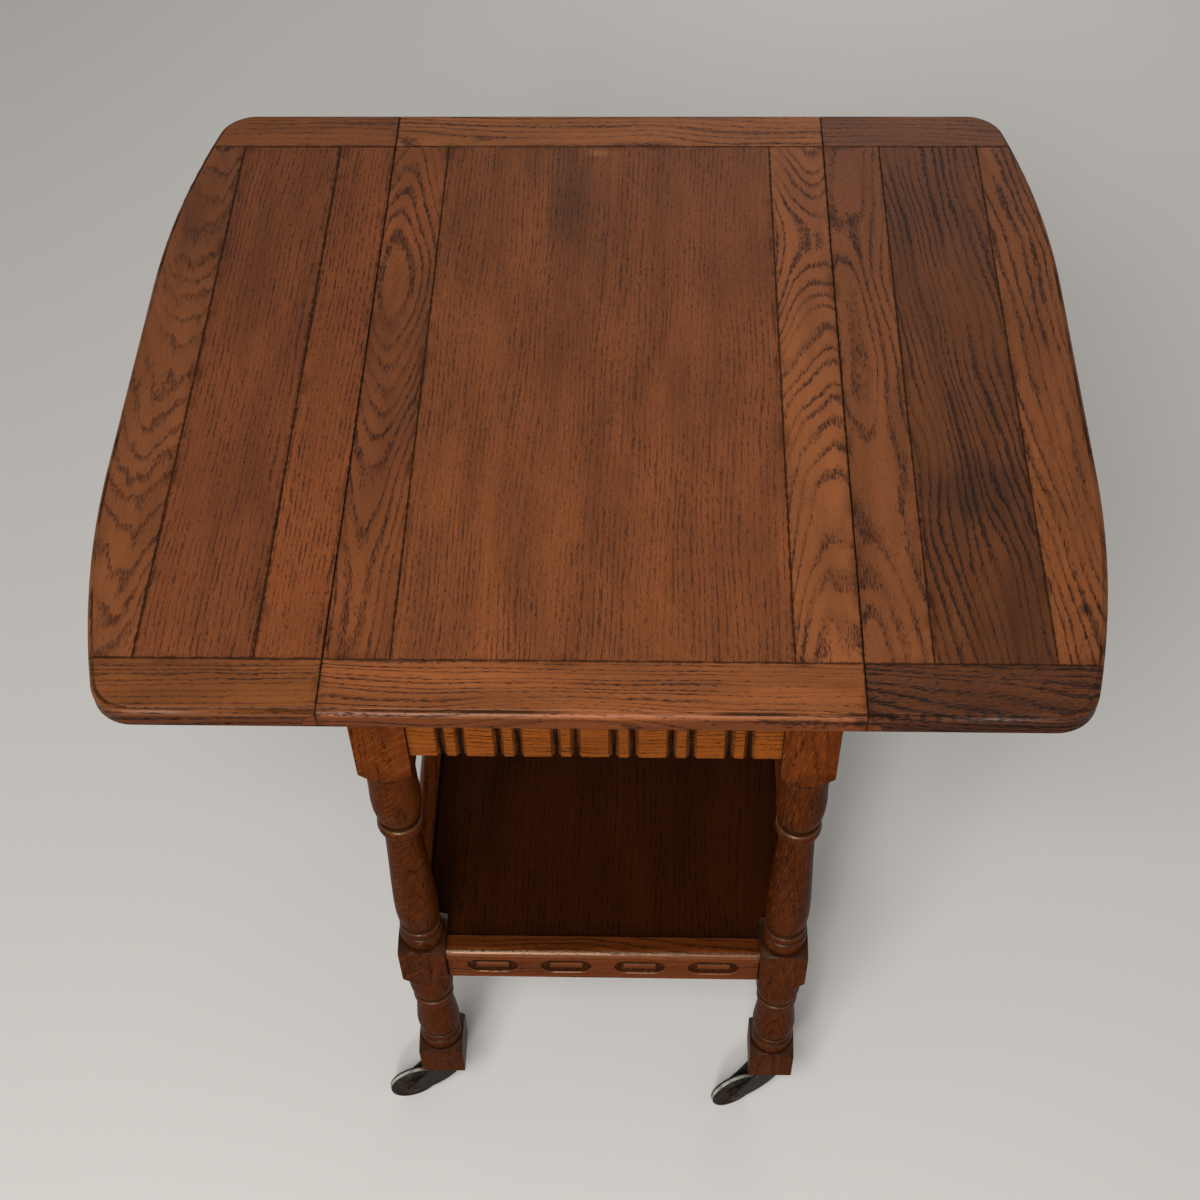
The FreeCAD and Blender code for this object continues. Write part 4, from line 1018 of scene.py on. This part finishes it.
# %% Outlines of wheel, tyre and axle
wheel_radius = 25 * mm
seat_radius = 20.4 * mm
rim_radius = 16.8 * mm
half_tyre = 4.8 * mm
tyre_round = 3.2 * mm
tyre_gap = 0.03 * mm
tyre_chamfer = 0.5 * mm
half_rim = 4 * mm
half_web = 3.1 * mm
web_rise = 0.3 * mm
corner_round = 0.7 * mm
hub_radius = 7 * mm
half_hub = 6.5 * mm
bore_radius = 3.03 * mm
axle_radius = 3 * mm
rivet_radius = 4.6 * mm
rivet_height = 1.5 * mm
half_axle = 9.2 * mm


def arc_points(centre, radius, start, end, steps=6):
    """Points on an arc, from one angle to another, in degrees."""
    angles = [math.radians(start + (end - start) * number / steps) for number in range(steps + 1)]
    return [(centre[0] + radius * math.cos(a), centre[1] + radius * math.sin(a)) for a in angles]


tyre_outline = [
    (seat_radius + tyre_gap, half_tyre - tyre_chamfer),
    (seat_radius + tyre_chamfer, half_tyre),
    *arc_points((wheel_radius - tyre_round, half_tyre - tyre_round), tyre_round, 90, 0),
]
wheel_outline = [
    (bore_radius, half_hub),
    *arc_points((hub_radius - corner_round, half_hub - corner_round), corner_round, 90, 0),
    *arc_points((hub_radius + corner_round, half_web + corner_round), corner_round, 180, 270),
    (rim_radius - corner_round, half_web),
    (rim_radius, half_web + web_rise),
    *arc_points((rim_radius + corner_round, half_rim - 0.5 * corner_round), 0.5 * corner_round, 180, 90),
    (seat_radius, half_rim),
]
head_bulge = (rivet_radius ** 2 + rivet_height ** 2) / (2 * rivet_height)
head_half = math.degrees(math.asin(rivet_radius / head_bulge))
head_centre = half_axle + rivet_height - head_bulge
axle_outline = [*arc_points((0, head_centre), head_bulge, 90, 90 - head_half), (axle_radius, half_axle)]
print("outlines of", len(wheel_outline), len(tyre_outline), "and", len(axle_outline), "points")

# %% [markdown]
# They are spun about Y at the origin and then carried to the axle by the matrix that the joint's place and axis
# give, so that each wheel turns exactly on its joint. The tyre is worn pale along its tread.

# %% Wheels, tyres and axles
wheel_steps = 72
half_tread = 1.9 * mm
tread_colour = (0.36, 0.34, 0.28)
rubber_colours = ((0.014, 0.013, 0.012), (0.03, 0.027, 0.023))


def turned_piece(half_outline, name, spin, closed):
    """Spin a half outline and its mirror image about a joint's axis."""
    axis = Vector(spin["axis"])
    up = Vector((0, 0, 1))
    lean = Matrix((up.cross(axis), axis, up)).transposed().to_4x4()
    points = half_outline + [(radius, -out) for radius, out in reversed(half_outline)]
    bm = spun([(-radius, out, 0) for radius, out in points], (0, 1, 0), wheel_steps, closed)
    bmesh.ops.transform(bm, matrix=Matrix.Translation(spin["pos_m"]) @ lean, verts=bm.verts)
    return object_from(bm, name)


for corner in ("front_left", "front_right", "back_left", "back_right"):
    spin = joints[f"{corner}_wheel_spin"]
    tread = (spin["pos_m"], spin["axis"], wheel_radius, half_tread, tread_colour)
    rubber = patchy_finish(f"{corner}_worn_rubber", *rubber_colours, 0.55, 0, 7, gloss=0.08, tread=tread)
    for part, half_outline, finish in (
        ("wheel", wheel_outline, composition),
        ("tyre", tyre_outline, rubber),
        ("castor_axle", axle_outline, brass),
    ):
        node = f"{corner}_{part}"
        dress(turned_piece(half_outline, f"{node}_turned", spin, part != "castor_axle"), finish, node)
print("four wheels with their tyres and axles")

# %% [markdown]
# The horns, sockets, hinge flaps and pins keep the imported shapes, with a small round on their edges.

# %% Horns, sockets and hinges
metal_ease = 0.35 * mm
shortest_metal = 1.5 * mm
metal_finishes = {"castor_iron": iron, "hinge_steel": steel}
for node, kind in slot_of.items():
    if kind in metal_finishes:
        dress(eased_copy(node, metal_ease, shortest_metal, "metal"), metal_finishes[kind], node)
print("horns, sockets and hinges eased")

# %% [markdown]
# A screw is a countersunk head with a slot, and a shank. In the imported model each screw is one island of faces,
# and every head looks down, so an island's box tells where its screw stands and how long it is.

# %% Places of the screws


def islands(mesh):
    """Boxes of the separate pieces in a mesh, in the order of their places."""
    bm = bmesh.new()
    bm.from_mesh(mesh)
    bmesh.ops.remove_doubles(bm, verts=bm.verts, dist=merge_distance)
    left = set(bm.verts)
    boxes = []
    while left:
        reached, queue = [], [left.pop()]
        while queue:
            vert = queue.pop()
            reached.append(vert.co.copy())
            near = {edge.other_vert(vert) for edge in vert.link_edges} & left
            left -= near
            queue += near
        sides = list(zip(*reached))
        boxes.append((Vector(map(min, sides)), Vector(map(max, sides))))
    bm.free()
    return sorted(boxes, key=lambda box: [round(side / mm, 1) for side in box[0]])


screw_nodes = [node for node, kind in slot_of.items() if kind == "screw_steel"]
screw_boxes = {node: islands(frame["nodes"][node].data) for node in screw_nodes}
print("places of", sum(map(len, screw_boxes.values())), "screws")

# %% [markdown]
# A screw is spun like the rest. Its slot is cut by four planes into the head's flat face, and the piece between
# them is pushed in. No two slots lie the same way, so each screw is turned on by the same large angle.

# %% Slotted screws
head_radius = 3.4 * mm
shank_radius = 1.7 * mm
head_height = 1.8 * mm
slot_half_width = 0.45 * mm
slot_half_length = 2.7 * mm
slot_depth = 0.8 * mm
screw_steps = 24
head_flat = math.radians(1)
faces_down = -0.99
next_turn = 2.4


def head_faces(screw):
    return [face for face in screw.faces if face.normal.z < faces_down]


def add_screw(bm, low, high, turn):
    """Add one screw that stands in a box, with its slot turned by an angle."""
    length = high.z - low.z
    shank = [(shank_radius, 0, head_height), (shank_radius, 0, length - shank_radius)]
    screw = spun([(0, 0, 0), (head_radius, 0, 0), *shank, (0, 0, length)], (0, 0, 1), screw_steps)
    bmesh.ops.dissolve_limit(screw, angle_limit=head_flat, verts=screw.verts, edges=screw.edges)
    bmesh.ops.recalc_face_normals(screw, faces=screw.faces)
    for direction, reach in ((Vector((1, 0, 0)), slot_half_length), (Vector((0, 1, 0)), slot_half_width)):
        for way in (direction, -direction):
            parts = dict.fromkeys(part for face in head_faces(screw) for part in (*face.verts, *face.edges, face))
            bmesh.ops.bisect_plane(screw, geom=list(parts), plane_co=way * reach, plane_no=way)
    slot = [face for face in head_faces(screw) if face.calc_center_median().length < slot_half_width]
    pushed = bmesh.ops.extrude_face_region(screw, geom=slot)["geom"]
    bmesh.ops.delete(screw, geom=slot, context="FACES")
    bottom = [vert for vert in pushed if isinstance(vert, bmesh.types.BMVert)]
    bmesh.ops.translate(screw, verts=bottom, vec=(0, 0, slot_depth))
    middle = (low + high) / 2
    place = Matrix.Translation((middle.x, middle.y, low.z)) @ Matrix.Rotation(turn, 4, "Z")
    bmesh.ops.transform(screw, matrix=place, verts=screw.verts)
    mesh = bpy.data.meshes.new("screw")
    screw.to_mesh(mesh)
    screw.free()
    bm.from_mesh(mesh)
    bpy.data.meshes.remove(mesh)


turn = 0
for node, boxes in screw_boxes.items():
    bm = bmesh.new()
    for low, high in boxes:
        turn += next_turn
        add_screw(bm, low, high, turn)
    dress(object_from(bm, f"{node}_slotted"), steel, node)
print("slots cut in", len(screw_boxes), "sets of screws")
